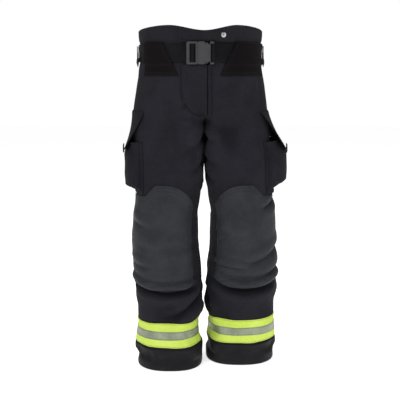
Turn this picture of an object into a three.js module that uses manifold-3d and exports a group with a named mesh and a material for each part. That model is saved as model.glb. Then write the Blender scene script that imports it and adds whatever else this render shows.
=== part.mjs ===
// Firefighter's bunker pants: a padded trouser shell with its liners, fly, belt and buckle,
// cargo pockets, knee patches, reflective trim and cuffs. Millimetres, +Z up, hems on z = 0,
// the front faces -Y, and +X is the wearer's left.

import * as THREE from 'three';
import { mergeVertices } from 'three/addons/utils/BufferGeometryUtils.js';
import Module from 'manifold-3d';

const wasm = await Module();
wasm.setup();

// ---------------------------------------------------------------- driving dimensions

const OUTSEAM = 1033; // hem to the highest part of the waistband
const INSEAM = 730; // hem to crotch
const LEG_REACH = 220; // centre line to the outseam at its widest, below the knee
const LEG_GAP = 19; // centre line to the inseam where the legs stand furthest apart
const WAIST_REACH = 177; // centre line to the side, at the belt
const FRONT_DEPTH = 120; // centre to the front of the fly
const BACK_DEPTH = 146; // centre to the fullest part of the seat
const SIDE_LEAN = 12; // the top hangs this much towards the wearer's right
const RIGHT_STEP = -30; // the wearer's right foot stands forward
const LEFT_STEP = 18; // and the left foot back

const FLY_RISE = 60; // crotch to the foot of the fly
const SEAT_RISE = 110; // crotch to where the seat seam is upright
const CROTCH_BACK = 10; // the crotch point lies behind the centre
const OUTSEAM_BACK = 5; // the outseam lies a little behind the centre

const WAISTBAND_HEIGHT = 43;
const WAISTBAND_THICK = 5;
const RIM_FRONT_DIP = 15; // the rim is lower at the fly, the sides and the back
const RIM_SIDE_DIP = 12;
const RIM_BACK_DIP = 5;
const OVERLAP_RIGHT = 66; // the closed waistband's outer end lies this far past the centre
const OVERLAP_LEFT = 62; // and the inner end this far the other way

const SHELL_THICK = 1.6;
const BARRIER_THICK = 1.0;
const QUILT_THICK = 3.5;
const FACING_THICK = 1.4;
const LINER_HEM = 55; // the liner stops this far above the hem
const LINER_SLACK = 1.3; // the liner hangs this much looser around the crotch
const SEWN_GAP = 0.4; // air between two cloth pieces that lie on each other
const PATCH_GAP = 0.9; // the same under a large patch, which bridges small hollows
const SEAM_GAP = 0.2; // half the air between two panels that are sewn edge to edge

const FLY_HALF_GAP = 5.5; // centre line to a panel's edge beside the zipper
const FLY_TOP_GAP = 0.5; // the fly flap starts this far below the buckle
const FLAP_REACH = 62; // centre line to the fly flap's free edge
const FLAP_HINGE_X = 10; // the fly flap is sewn along this line
const FLAP_CURVE = 21; // height of the curve at the flap's lower corner
const FLAP_FOOT_DROP = 8; // the flap ends this far below the foot of the fly
const FLAP_LIFT = 5.6; // the flap stands off the panel, over the zipper
const FLAP_THICK = 2.4;
const BINDING_WIDTH = 9.5;
const STRIP_WIDTH = 24; // hook and loop strip
const LOOP_THICK = 1.9;

const TAPE_WIDTH = 13;
const TAPE_THICK = 1.0;
const CHAIN_HALF_WIDTH = 3;
const CHAIN_FRONT = 1.3; // the teeth stand this far in front of the panels' faces
const TOOTH_PITCH = 10;
const SLIDER_HEIGHT = 12;
const SLIDER_WALL = 1.4;
const SLIDER_AIR = 0.5;
const PULL_LENGTH = 28;
const PULL_WIDTH = 9;
const PULL_THICK = 1.4;

const BELT_WIDTH = 50;
const BELT_THICK = 2.5;
const BELT_LIFT = 2.2; // the webbing stands off the waist behind the buckle

const BUCKLE_RIM = 6.5; // the buckle stands past the webbing by this, above and below
const BUCKLE_DROP = 1.5; // waist seam down to the top of the buckle
const BUCKLE_THICK = 12;
const BUCKLE_FORWARD = 10.5; // fly face to the middle of the buckle
const BUCKLE_CORNER = 4;
const SOCKET_START = -18.7; // along the belt, from the centre line to the wearer's left
const SOCKET_END = 27;
const SOCKET_DEPTH = 32.7;
const SOCKET_WALL = 2;
const SOCKET_EDGE = 2.7; // wall at the socket's top and bottom
const CLIP_LENGTH = 32;
const CLIP_THICK = 8;
const CLIP_BAR = 7.5;
const SLOT_AIR = 1; // the buckle's slots are this much taller than the webbing, at each end
const PRONG_AIR = 0.3;
const PRONG_ROOT_AIR = 0.5;
const PRONG_TIP_AIR = 0.8;
const WRAP_THICK = 2.1;

const TUNNEL_DROP = 39; // belt tunnel, below the belt's lower edge
const TUNNEL_RISE = 6; // and above its upper edge
const TUNNEL_THICK = 1.6;
const TUNNEL_AIR = 2.4; // between the belt and a tunnel or loop that it runs through
const TUNNEL_SLANT = 44; // the front edge slants back by this much
const RIGHT_TUNNEL = 74; // centre line to the wearer's right tunnel's front edge
const LEFT_TUNNEL = 44; // and to the left one's
const TUNNEL_REAR = 18; // its rear edge stays this far from the side

const STRAP_WIDTH = 38; // take-up strap at each side of the waist
const STRAP_LENGTH = 62;
const STRAP_THICK = 1.8;
const SIDE_BUCKLE_HEIGHT = 46;
const SIDE_BUCKLE_WIDTH = 17;
const SIDE_BUCKLE_BAR = 3.2;

const POCKET_TOP_DROP = 30; // crotch down to the pocket's mouth
const POCKET_HEIGHT = 153;
const POCKET_WIDTH = 190; // measured round the leg
const POCKET_FLANGE = 10; // its sewn edge
const POCKET_THICK = 1.8;
const RIGHT_BULGE = 31;
const LEFT_BULGE = 44;
const MOUTH_SHARE = 0.85; // how much of the bulge is left at the mouth
const POCKET_FLAP_RISE = 58; // crotch up to the flap's sewn edge
const POCKET_FLAP_DROP = 115;
const POCKET_FLAP_THICK = 2.4;
const POCKET_FLAP_HALF = 78; // half the length of its lower edge
const FLAP_OVER_POCKET = 2.8; // the flap's lower edge clears the pocket by this
const TAB_WIDTH = 22;
const TAB_LENGTH = 26;
const TAB_THICK = 2;

const KNEE_BOTTOM = 265;
const KNEE_HEIGHT = 311;
const KNEE_INNER = 0.13; // share of the way round, from the inseam over the front
const KNEE_OUTER = 0.47;
const KNEE_DOME = 9;
const KNEE_UNDER_POCKET = 7; // the patch's outer part ends this far below the pocket
const KNEE_PATCH_THICK = 1.6;

const TRIM_BOTTOM = 73;
const TRIM_WIDTH = 75;
const SILVER_WIDTH = 25;
const TRIM_GAP = 0.6; // the trim and the cuff run round tight corners, so they lie looser
const TRIM_THICK = 1.2;
const SILVER_THICK = 0.6;
const CUFF_HEIGHT = 65;
const CUFF_THICK = 1.8;

const SNAP_RADIUS = 7.5;
const SNAP_HEIGHT = 3.2;
const SNAP_X = 51;

const COLUMNS = 20; // strips round one half of the trousers
const CHORD_STEPS = 24; // fine steps used to measure along a section

// ---------------------------------------------------------------- heights worked out

const WAIST_SEAM = OUTSEAM - WAISTBAND_HEIGHT;
const FLY_FOOT = INSEAM + FLY_RISE;
const SEAT_TOP = INSEAM + SEAT_RISE;
const BUCKLE_WIDTH = BELT_WIDTH + 2 * BUCKLE_RIM;
const BELT_Z = WAIST_SEAM - BUCKLE_DROP - BUCKLE_WIDTH / 2;
const BELT_LOW = BELT_Z - BELT_WIDTH / 2;
const BELT_HIGH = BELT_Z + BELT_WIDTH / 2;
const SLOT_HALF_HEIGHT = BELT_WIDTH / 2 + SLOT_AIR;
const FLY_TOP = BELT_Z - BUCKLE_WIDTH / 2 - FLY_TOP_GAP;
const LINER_TOP = WAIST_SEAM - 22;
const HIP_REACH = 0.95 * LEG_REACH;

// One row of the trousers' shape at a height: how far the outseam, the inseam, the front and
// the back stand from the centre, and where along the width the front and back are fullest.
function legRow(height, reach, gap, front, back, fullest) {
  return {
    z: height * INSEAM,
    reach: reach * LEG_REACH,
    gap: gap * LEG_GAP + SEAM_GAP,
    front: front * FRONT_DEPTH,
    back: back * BACK_DEPTH,
    fullest,
  };
}

function waistRow(z, waist, back, fullest) {
  return {
    z,
    reach: THREE.MathUtils.lerp(HIP_REACH, WAIST_REACH, waist),
    gap: SEAM_GAP,
    front: FRONT_DEPTH,
    back: back * BACK_DEPTH,
    fullest,
  };
}

const between = THREE.MathUtils.lerp;

const ROWS = [
  legRow(0, 0.94, 0.47, 0.73, 0.63, 0.5),
  legRow(0.09, 0.955, 0.68, 0.725, 0.616, 0.5),
  legRow(0.185, 0.94, 0.9, 0.717, 0.596, 0.5),
  legRow(0.267, 0.96, 0.37, 0.75, 0.575, 0.5),
  legRow(0.35, 0.99, 0.37, 0.8, 0.562, 0.5),
  legRow(0.452, 1, 0.63, 0.858, 0.562, 0.5),
  legRow(0.562, 1, 1, 0.892, 0.575, 0.5),
  legRow(0.658, 0.977, 1, 0.917, 0.616, 0.5),
  legRow(0.753, 0.945, 0.58, 0.942, 0.671, 0.48),
  legRow(0.849, 0.95, 0.16, 0.967, 0.753, 0.44),
  legRow(0.932, 0.955, 0.03, 0.988, 0.847, 0.37),
  legRow(0.98, 0.953, 0, 0.996, 0.904, 0.3),
  legRow(1, 0.951, 0, 1, 0.929, 0.25),
  waistRow(between(INSEAM, FLY_FOOT, 0.17), 0, 0.945, 0.22),
  waistRow(between(INSEAM, FLY_FOOT, 0.42), 0.03, 0.962, 0.16),
  waistRow(between(INSEAM, FLY_FOOT, 0.75), 0.07, 0.979, 0.08),
  waistRow(FLY_FOOT, 0.11, 0.988, 0.045),
  waistRow(between(FLY_FOOT, SEAT_TOP, 0.5), 0.235, 0.997, 0.02),
  waistRow(SEAT_TOP, 0.375, 1, 0),
  waistRow(between(SEAT_TOP, WAIST_SEAM, 0.47), 0.78, 0.932, 0),
  waistRow(between(SEAT_TOP, WAIST_SEAM, 0.77), 1, 0.877, 0),
  waistRow(WAIST_SEAM, 0.906, 0.87, 0),
  waistRow(OUTSEAM + 12, 0.78, 0.87, 0),
];

function rowAt(z) {
  let i = 1;
  while (i < ROWS.length - 1 && ROWS[i].z < z) {
    i++;
  }
  const low = ROWS[i - 1];
  const high = ROWS[i];
  const t = (z - low.z) / (high.z - low.z);
  const row = {};
  for (const key of Object.keys(low)) {
    row[key] = between(low[key], high[key], t);
  }
  return row;
}

// ---------------------------------------------------------------- the shape of the shell

const smooth = THREE.MathUtils.smoothstep;

// A quarter of a rounded rectangle, from (x0, y0) to (x1, y1).
function corner(x0, y0, x1, y1, power, fromX) {
  const points = [];
  for (let k = 0; k <= CHORD_STEPS; k++) {
    const angle = (k / CHORD_STEPS) * Math.PI / 2;
    const rise = Math.sin(angle) ** (2 / power);
    const run = 1 - Math.cos(angle) ** (2 / power);
    const tx = fromX ? run : rise;
    const ty = fromX ? rise : run;
    points.push(new THREE.Vector2(between(x0, x1, tx), between(y0, y1, ty)));
  }
  return points;
}

// How far the front or the back edge has come along the seam between the legs at a height.
function riseShare(z, height) {
  return Math.sin(THREE.MathUtils.clamp((z - INSEAM) / height, 0, 1) * Math.PI / 2);
}

// Where a layer's edge stands beside the centre: set in by its depth between the legs and up
// the first half of the seam, then less and less, until the two sides meet edge to edge.
function innerEdge(row, z, out, height) {
  const open = 1 - THREE.MathUtils.clamp((z - INSEAM) / height - 0.5, 0, 1);
  return Math.max(row.gap - out * open, SEAM_GAP);
}

// The line round one side (+1 or -1) at a height, set outwards by out, in two halves: centre
// front to outseam, and outseam to centre back.
function sectionLine(side, z, out) {
  const row = rowAt(z);
  const lean = SIDE_LEAN * smooth(z, INSEAM - 110, INSEAM + 40);
  const reach = row.reach - side * lean + out;
  const front = -(row.front + out);
  const back = row.back + out;
  const frontX = innerEdge(row, z, out, FLY_RISE);
  const backX = innerEdge(row, z, out, SEAT_RISE);
  const frontY = between(CROTCH_BACK, front, riseShare(z, FLY_RISE));
  const backY = between(CROTCH_BACK, back, riseShare(z, SEAT_RISE));
  const frontFull = between(frontX, reach, row.fullest);
  const backFull = between(backX, reach, row.fullest);
  const step = (side < 0 ? RIGHT_STEP : LEFT_STEP) * Math.max(0, 1 - z / (INSEAM - 30));
  const frontHalf = [
    ...corner(frontX, frontY, frontFull, front, 2.6, true),
    ...corner(frontFull, front, reach, OUTSEAM_BACK, 2.3, false),
  ];
  const backHalf = [
    ...corner(reach, OUTSEAM_BACK, backFull, back, 2.1, true),
    ...corner(backFull, back, backX, backY, 2.6, false),
  ];
  return [frontHalf, backHalf].map((half) => half.map((p) => new THREE.Vector2(side * p.x, p.y + step)));
}

function along(points, share) {
  const reach = [0];
  for (let i = 1; i < points.length; i++) {
    reach.push(reach[i - 1] + points[i].distanceTo(points[i - 1]));
  }
  const goal = share * reach[reach.length - 1];
  let i = 1;
  while (i < points.length - 1 && reach[i] < goal) {
    i++;
  }
  const span = reach[i] - reach[i - 1];
  const t = span > 0 ? (goal - reach[i - 1]) / span : 0;
  return points[i - 1].clone().lerp(points[i], t);
}

// The crotch is nearly level, so a layer that lies inside another is also higher there.
function crotchLift(z) {
  const below = smooth(z, INSEAM - 55, INSEAM - 10);
  const above = 1 - smooth(z, FLY_FOOT - 30, SEAT_TOP);
  return below * above;
}

const corners = new Map();

function gridPoint(side, column, z, out) {
  const key = `${side} ${column} ${z} ${out}`;
  if (!corners.has(key)) {
    const halves = sectionLine(side, z, out);
    const u = column / COLUMNS;
    const flat = u <= 0.5 ? along(halves[0], u * 2) : along(halves[1], u * 2 - 1);
    corners.set(key, new THREE.Vector3(flat.x, flat.y, z - out * crotchLift(z)));
  }
  return corners.get(key);
}

// A point of the shell. round runs from 0 at centre front to 1 at centre back, negative on the
// wearer's right; past 1 it runs on from the centre back over the wearer's right side.
function cloth(round, z, out) {
  const side = round < 0 || round > 1 ? -1 : 1;
  const u = round > 1 ? 2 - round : Math.abs(round);
  const column = Math.min(Math.floor(u * COLUMNS + 1e-9), COLUMNS - 1);
  let i = 1;
  while (i < ROWS.length - 1 && ROWS[i].z < z) {
    i++;
  }
  const low = ROWS[i - 1].z;
  const high = ROWS[i].z;
  const across = u * COLUMNS - column;
  const up = (z - low) / (high - low);
  const bottom = gridPoint(side, column, low, out).clone();
  bottom.lerp(gridPoint(side, column + 1, low, out), across);
  const top = gridPoint(side, column, high, out).clone();
  top.lerp(gridPoint(side, column + 1, high, out), across);
  return bottom.lerp(top, up);
}

// The way round at which the shell's front stands at a given x.
function roundAtX(x, z) {
  let low = 0;
  let high = 0.5;
  for (let k = 0; k < 40; k++) {
    const middle = (low + high) / 2;
    const reached = Math.abs(cloth(Math.sign(x) * middle, z, 0).x);
    if (reached < Math.abs(x)) {
      low = middle;
    } else {
      high = middle;
    }
  }
  return Math.sign(x) * low;
}

// The share of the way round one side that a length takes at a height.
function shareOf(length, side, z) {
  const ways = steps(0, 1, COLUMNS).map((u) => cloth(side * u, z, 0));
  const girth = ways.slice(1).reduce((sum, p, i) => sum + p.distanceTo(ways[i]), 0);
  return length / girth;
}

// A point in front of the fly: x as given, out forward from the shell. Below the foot of the
// fly, where the shell runs back between the legs, the fly's pieces carry straight on.
function beforeFly(x, z, out) {
  const level = Math.max(z, FLY_FOOT);
  const round = x === 0 ? 0 : roundAtX(x, level);
  return new THREE.Vector3(x, cloth(round, level, 0).y - out, z);
}

// ---------------------------------------------------------------- making solids

function signedVolume(position, index) {
  const a = new THREE.Vector3();
  const b = new THREE.Vector3();
  const c = new THREE.Vector3();
  let volume = 0;
  for (let i = 0; i < index.length; i += 3) {
    a.fromArray(position, 3 * index[i]);
    b.fromArray(position, 3 * index[i + 1]);
    c.fromArray(position, 3 * index[i + 2]);
    volume += a.dot(b.cross(c)) / 6;
  }
  return volume;
}

// A closed solid between two grids of points with the same rows and columns.
function plate(outer, inner) {
  const rows = outer.length;
  const columns = outer[0].length;
  const count = rows * columns;
  const position = [];
  for (const p of [...outer.flat(), ...inner.flat()]) {
    position.push(p.x, p.y, p.z);
  }
  const index = [];
  const at = (i, j) => i * columns + j;
  const wall = (a, b) => index.push(b, a, a + count, b, a + count, b + count);
  for (let i = 0; i + 1 < rows; i++) {
    for (let j = 0; j + 1 < columns; j++) {
      const [a, b, c, d] = [at(i, j), at(i, j + 1), at(i + 1, j + 1), at(i + 1, j)];
      index.push(a, b, c, a, c, d);
      index.push(a + count, c + count, b + count, a + count, d + count, c + count);
    }
  }
  for (let j = 0; j + 1 < columns; j++) {
    wall(at(0, j), at(0, j + 1));
    wall(at(rows - 1, j + 1), at(rows - 1, j));
  }
  for (let i = 0; i + 1 < rows; i++) {
    wall(at(i, columns - 1), at(i + 1, columns - 1));
    wall(at(i + 1, 0), at(i, 0));
  }
  if (signedVolume(position, index) < 0) {
    index.reverse();
  }
  const geometry = new THREE.BufferGeometry();
  geometry.setAttribute('position', new THREE.Float32BufferAttribute(position, 3));
  geometry.setIndex(index);
  return geometry;
}

function steps(low, high, count) {
  return Array.from({ length: count + 1 }, (_, k) => between(low, high, k / count));
}

function heights(low, high) {
  return [low, ...ROWS.map((row) => row.z).filter((z) => z > low + 1 && z < high - 1), high];
}

function rounds(low, high, columns = COLUMNS) {
  const inside = [];
  for (let k = -2 * columns; k <= 2 * columns; k++) {
    const round = k / columns;
    if (round > low + 0.004 && round < high - 0.004) {
      inside.push(round);
    }
  }
  return [low, ...inside, high];
}

// A cloth layer: columns are ways round (numbers, or functions of the height), and inside and
// outside give how far its two faces stand from the shell's outer face.
function layer(columns, rows, inside, outside) {
  const grid = (out) => rows.map((z) => columns.map((column) => {
    const round = typeof column === 'function' ? column(z) : column;
    return cloth(round, z, typeof out === 'function' ? out(round, z) : out);
  }));
  return plate(grid(outside), grid(inside));
}

function flyLayer(xs, rowsAt, inside, outside) {
  const count = rowsAt(xs[0]).length;
  const row = (i, out) => xs.map((x) => beforeFly(x, rowsAt(x)[i], out));
  const grid = (out) => Array.from({ length: count }, (_, i) => row(i, out));
  return plate(grid(outside), grid(inside));
}

function block(x0, x1, y0, y1, z0, z1) {
  const geometry = new THREE.BoxGeometry(x1 - x0, y1 - y0, z1 - z0);
  return geometry.translate((x0 + x1) / 2, (y0 + y1) / 2, (z0 + z1) / 2);
}

// An outline in X and Z, made thick along Y about y = 0.
function slabXZ(shape, thickness, curveSegments = 4) {
  const geometry = new THREE.ExtrudeGeometry(shape, { depth: thickness, bevelEnabled: false, curveSegments });
  return geometry.rotateX(Math.PI / 2).translate(0, thickness / 2, 0);
}

function roundedOutline(x0, x1, z0, z1, radius) {
  const shape = new THREE.Shape();
  shape.moveTo(x0 + radius, z0);
  shape.lineTo(x1 - radius, z0);
  shape.absarc(x1 - radius, z0 + radius, radius, -Math.PI / 2, 0, false);
  shape.lineTo(x1, z1 - radius);
  shape.absarc(x1 - radius, z1 - radius, radius, 0, Math.PI / 2, false);
  shape.lineTo(x0 + radius, z1);
  shape.absarc(x0 + radius, z1 - radius, radius, Math.PI / 2, Math.PI, false);
  shape.lineTo(x0, z0 + radius);
  shape.absarc(x0 + radius, z0 + radius, radius, Math.PI, 1.5 * Math.PI, false);
  return shape;
}

function solidOf(geometry) {
  const bare = geometry.clone();
  bare.deleteAttribute('normal');
  bare.deleteAttribute('uv');
  const merged = mergeVertices(bare, 1e-4);
  const vertProperties = Float32Array.from(merged.attributes.position.array);
  const triVerts = Uint32Array.from(merged.index.array);
  return new wasm.Manifold(new wasm.Mesh({ numProp: 3, vertProperties, triVerts }));
}

function geometryOf(solid) {
  const mesh = solid.getMesh();
  const geometry = new THREE.BufferGeometry();
  geometry.setAttribute('position', new THREE.Float32BufferAttribute(mesh.vertProperties, 3));
  geometry.setIndex(Array.from(mesh.triVerts));
  return geometry;
}

function cut(geometry, ...tools) {
  return geometryOf(tools.reduce((solid, tool) => solid.subtract(solidOf(tool)), solidOf(geometry)));
}

function join(...geometries) {
  return geometryOf(geometries.map(solidOf).reduce((whole, solid) => whole.add(solid)));
}

// ---------------------------------------------------------------- materials

const looks = {
  shell: { color: 0x17171b, roughness: 0.85, metalness: 0 },
  tunnel: { color: 0x1c1918, roughness: 0.9, metalness: 0 },
  leather: { color: 0x39393b, roughness: 0.6, metalness: 0 },
  barrier: { color: 0xd9d2b4, roughness: 0.6, metalness: 0 },
  quilt: { color: 0xb9a24c, roughness: 0.95, metalness: 0 },
  webbing: { color: 0x111114, roughness: 0.8, metalness: 0 },
  plastic: { color: 0x2b2c30, roughness: 0.45, metalness: 0 },
  brass: { color: 0xa5853f, roughness: 0.35, metalness: 1 },
  steel: { color: 0xb4b7bb, roughness: 0.3, metalness: 1 },
  lime: { color: 0xc3dd3c, roughness: 0.6, metalness: 0 },
  silver: { color: 0xc9ccd1, roughness: 0.35, metalness: 0.3 },
  foam: { color: 0x44464a, roughness: 0.95, metalness: 0 },
};

const pants = new THREE.Group();

function add(name, geometry, look, parent = pants) {
  geometry.computeVertexNormals();
  const mesh = new THREE.Mesh(geometry, new THREE.MeshStandardMaterial(looks[look]));
  mesh.name = name;
  parent.add(mesh);
}

const SIDES = [
  { side: -1, name: 'right', tunnel: RIGHT_TUNNEL, bulge: RIGHT_BULGE },
  { side: 1, name: 'left', tunnel: LEFT_TUNNEL, bulge: LEFT_BULGE },
];

const EDGE = 0.0007; // share of the way round left free at a panel's sewn edge

// ---------------------------------------------------------------- shell panels and liners

// A panel's front edge: at the centre, and beside the zipper cut back to a given x.
function frontEdge(side, halfGap) {
  return (z) => (z >= FLY_FOOT - 1e-6 ? roundAtX(side * halfGap, z) : side * EDGE);
}

function addPanels({ side, name }) {
  const rows = heights(0, WAIST_SEAM);
  const frontWays = steps(0.05, 0.45, 8).map((u) => side * u);
  const backWays = steps(0.55, 0.95, 8).map((u) => side * u);
  const front = [frontEdge(side, FLY_HALF_GAP), ...frontWays, side * (0.5 - EDGE)];
  const back = [side * (0.5 + EDGE), ...backWays, side * (1 - EDGE)];
  add(`front_panel_${name}`, layer(front, rows, -SHELL_THICK, 0), 'shell');
  add(`back_panel_${name}`, layer(back, rows, -SHELL_THICK, 0), 'shell');
}

function slack(z) {
  return LINER_SLACK * crotchLift(z);
}

function addLiner({ side, name }) {
  const rows = heights(LINER_HEM, LINER_TOP);
  const fly = frontEdge(side, FLY_HALF_GAP + TAPE_WIDTH - 2);
  const ways = [0.05, ...steps(0.1, 0.9, 8), 0.95].map((u) => side * u);
  const columns = [fly, ...ways, side * (1 - 2 * EDGE)];
  const barrierOut = (_, z) => -SHELL_THICK - SEWN_GAP - slack(z);
  const barrierIn = (_, z) => barrierOut(_, z) - BARRIER_THICK;
  const quiltOut = (_, z) => barrierIn(_, z) - SEWN_GAP;
  const quiltIn = (_, z) => quiltOut(_, z) - QUILT_THICK;
  add(`moisture_barrier_${name}`, layer(columns, rows, barrierIn, barrierOut), 'barrier');
  add(`thermal_liner_${name}`, layer(columns, rows, quiltIn, quiltOut), 'quilt');
}

// ---------------------------------------------------------------- waistband

// The rim dips at the fly, the sides and the back and is highest at the front quarters.
function rim(round) {
  const u = round > 1 ? 2 - round : Math.abs(round);
  const dip = u < 0.2
    ? RIM_FRONT_DIP * (1 - smooth(u, 0, 0.2))
    : u < 0.5
      ? RIM_SIDE_DIP * smooth(u, 0.2, 0.5)
      : between(RIM_SIDE_DIP, RIM_BACK_DIP, smooth(u, 0.5, 0.9));
  return OUTSEAM - dip;
}

function bandLayer(columns, low, below, inside, outside) {
  const grid = (out) => [0, 0.45, 1].map((t) => columns.map((round) => {
    const z = between(low, rim(round) - below, t);
    return cloth(round, z, out(round));
  }));
  return plate(grid(outside), grid(inside));
}

// Both halves of the waistband and its facing. Gives back how far the outer half's face stands
// off the shell at each way round.
function addWaistband() {
  const inner = -WAISTBAND_THICK + 1.5;
  const low = WAIST_SEAM + 0.3;
  const rightEnd = -roundAtX(-OVERLAP_RIGHT, WAIST_SEAM);
  const leftEnd = roundAtX(OVERLAP_LEFT, WAIST_SEAM);
  const lifted = (round) => 1 - smooth(round, leftEnd + 0.02, leftEnd + 0.09);
  const overIn = (round) => inner + (WAISTBAND_THICK + 0.5) * lifted(round);
  const overOut = (round) => overIn(round) + WAISTBAND_THICK;
  const over = [...new Set([...rounds(-rightEnd, 1 - 2 * EDGE), leftEnd + 0.02, leftEnd + 0.09])];
  over.sort((a, b) => a - b);
  add('waistband_left', bandLayer(over, low, 0, overIn, overOut), 'shell');
  const under = rounds(-1 + 2 * EDGE, leftEnd);
  add('waistband_right', bandLayer(under, low, 0, () => inner, () => inner + WAISTBAND_THICK), 'shell');
  const facingOut = () => inner - SEWN_GAP;
  const facingIn = () => inner - SEWN_GAP - FACING_THICK;
  for (const { side, name } of SIDES) {
    const columns = rounds(side < 0 ? -1 + 2 * EDGE : 0.01, side < 0 ? -0.01 : 1 - 2 * EDGE, COLUMNS / 2);
    const facing = bandLayer(columns, LINER_TOP + SEWN_GAP, 4, facingIn, facingOut);
    add(`waistband_facing_${name}`, facing, 'shell');
  }
  return overOut;
}

function addSnapCap(bandFace) {
  const z = WAIST_SEAM + 0.4 * WAISTBAND_HEIGHT;
  const round = roundAtX(SNAP_X, z);
  const here = cloth(round, z, bandFace(round));
  const beside = cloth(round + 0.02, z, bandFace(round + 0.02));
  const before = cloth(round - 0.02, z, bandFace(round - 0.02));
  const above = cloth(round, z + 8, bandFace(round));
  const out = beside.sub(before).cross(above.sub(here)).normalize();
  const profile = [[0, 0], [1, 0], [1, 0.25], [0.82, 0.66], [0.45, 0.95], [0, 1]];
  const points = profile.map(([r, h]) => new THREE.Vector2(r * SNAP_RADIUS, h * SNAP_HEIGHT));
  const cap = new THREE.LatheGeometry(points, 16);
  cap.applyQuaternion(new THREE.Quaternion().setFromUnitVectors(new THREE.Vector3(0, 1, 0), out));
  cap.translate(here.x + out.x * 0.7, here.y + out.y * 0.7, here.z + out.z * 0.7);
  add('waist_snap_cap', cap, 'steel');
}

// ---------------------------------------------------------------- fly, strips and zipper

function addFly() {
  const foot = FLY_FOOT - FLAP_FOOT_DROP;
  const lowEdge = (x) => {
    const t = THREE.MathUtils.clamp((x + FLAP_REACH) / 40, 0, 1);
    return foot + FLAP_CURVE * (1 - Math.sqrt(1 - (1 - t) ** 2));
  };
  const flapRows = (x) => steps(lowEdge(x), FLY_TOP, 5);
  const flapXs = [-FLAP_REACH, -FLAP_REACH + 3, -FLAP_REACH + 12, -FLAP_REACH + 24, -22, -6, FLAP_HINGE_X];
  const flap = flyLayer(flapXs, flapRows, FLAP_LIFT, FLAP_LIFT + FLAP_THICK);
  add('fly_flap', flap, 'shell');
  const bindingStart = FLAP_HINGE_X + 0.3;
  const bindingXs = [bindingStart, bindingStart + BINDING_WIDTH / 2, bindingStart + BINDING_WIDTH];
  const bindingRows = () => heights(foot, FLY_TOP);
  add('fly_seam_binding', flyLayer(bindingXs, bindingRows, SEWN_GAP, FLAP_LIFT + FLAP_THICK), 'shell');

  const stripEnd = -FLAP_REACH + 4 + STRIP_WIDTH;
  const stripXs = steps(-FLAP_REACH + 4, stripEnd, 2);
  const stripRows = () => heights(FLY_FOOT + 10, FLY_TOP - 5);
  const loopTop = SEWN_GAP + LOOP_THICK;
  add('fly_loop_strip', flyLayer(stripXs, stripRows, SEWN_GAP, loopTop), 'webbing');
  add('fly_hook_strip', flyLayer(stripXs, stripRows, loopTop + 0.3, FLAP_LIFT - 0.3), 'webbing');
}

function addZipper() {
  const low = FLY_FOOT + 8;
  const high = FLY_TOP - 1;
  const back = -SHELL_THICK - 0.3;
  for (const { side, name } of SIDES) {
    const inner = side * 0.4;
    const outer = side * (0.4 + TAPE_WIDTH);
    const xs = side < 0 ? [outer, inner] : [inner, outer];
    const rows = () => heights(low - 6, high);
    add(`zipper_tape_${name}`, flyLayer(xs, rows, back - TAPE_THICK, back), 'webbing');
  }
  const face = cloth(0, low, 0).y;
  const outline = new THREE.Shape();
  const teeth = Math.floor((high - low) / TOOTH_PITCH);
  const waist = CHAIN_HALF_WIDTH / 2.5;
  const tooth = TOOTH_PITCH / 4;
  outline.moveTo(-waist, low);
  outline.lineTo(waist, low);
  for (let k = 0; k < teeth; k++) {
    const z = low + k * TOOTH_PITCH;
    outline.lineTo(waist, z + tooth);
    outline.lineTo(CHAIN_HALF_WIDTH, z + tooth);
    outline.lineTo(CHAIN_HALF_WIDTH, z + 3 * tooth);
    outline.lineTo(waist, z + 3 * tooth);
  }
  outline.lineTo(waist, high);
  outline.lineTo(-waist, high);
  for (let k = teeth - 1; k >= 0; k--) {
    const z = low + k * TOOTH_PITCH;
    outline.lineTo(-waist, z + 3 * tooth);
    outline.lineTo(-CHAIN_HALF_WIDTH, z + 3 * tooth);
    outline.lineTo(-CHAIN_HALF_WIDTH, z + tooth);
    outline.lineTo(-waist, z + tooth);
  }
  const chainThick = SHELL_THICK + CHAIN_FRONT;
  const chain = slabXZ(outline, chainThick).translate(0, face + SHELL_THICK - chainThick / 2, 0);
  add('zipper_chain', chain, 'brass');
  const stop = block(-4, 4, face - CHAIN_FRONT, face + SHELL_THICK, low - 5, low - 0.3);
  add('zipper_stop', stop, 'brass');

  const wallIn = CHAIN_HALF_WIDTH + SLIDER_AIR;
  const wallOut = wallIn + SLIDER_WALL;
  const plateBack = -CHAIN_FRONT - SLIDER_AIR;
  const plateFront = plateBack - SLIDER_WALL;
  const channel = new THREE.Shape();
  channel.moveTo(-wallOut, plateFront);
  channel.lineTo(wallOut, plateFront);
  channel.lineTo(wallOut, SHELL_THICK - 0.3);
  channel.lineTo(wallIn, SHELL_THICK - 0.3);
  channel.lineTo(wallIn, plateBack);
  channel.lineTo(-wallIn, plateBack);
  channel.lineTo(-wallIn, SHELL_THICK - 0.3);
  channel.lineTo(-wallOut, SHELL_THICK - 0.3);
  const slider = new THREE.ExtrudeGeometry(channel, { depth: SLIDER_HEIGHT, bevelEnabled: false });
  const sliderLow = high - SLIDER_HEIGHT;
  add('zipper_slider', slider.translate(0, face, sliderLow), 'brass');

  const pull = roundedOutline(-PULL_WIDTH / 2, PULL_WIDTH / 2, -PULL_LENGTH, 0, PULL_WIDTH / 2 - 0.1);
  const eye = new THREE.Path();
  eye.absarc(0, -PULL_LENGTH + PULL_WIDTH, PULL_WIDTH / 4, 0, 2 * Math.PI, true);
  pull.holes.push(eye);
  const pullGroup = new THREE.Group();
  pullGroup.position.set(0, face + plateFront - 0.4 - PULL_THICK / 2, high - 2);
  add('zipper_pull', slabXZ(pull, PULL_THICK, 3), 'brass', pullGroup);
  pants.add(pullGroup);
}

// ---------------------------------------------------------------- belt, tunnels and buckle

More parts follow.
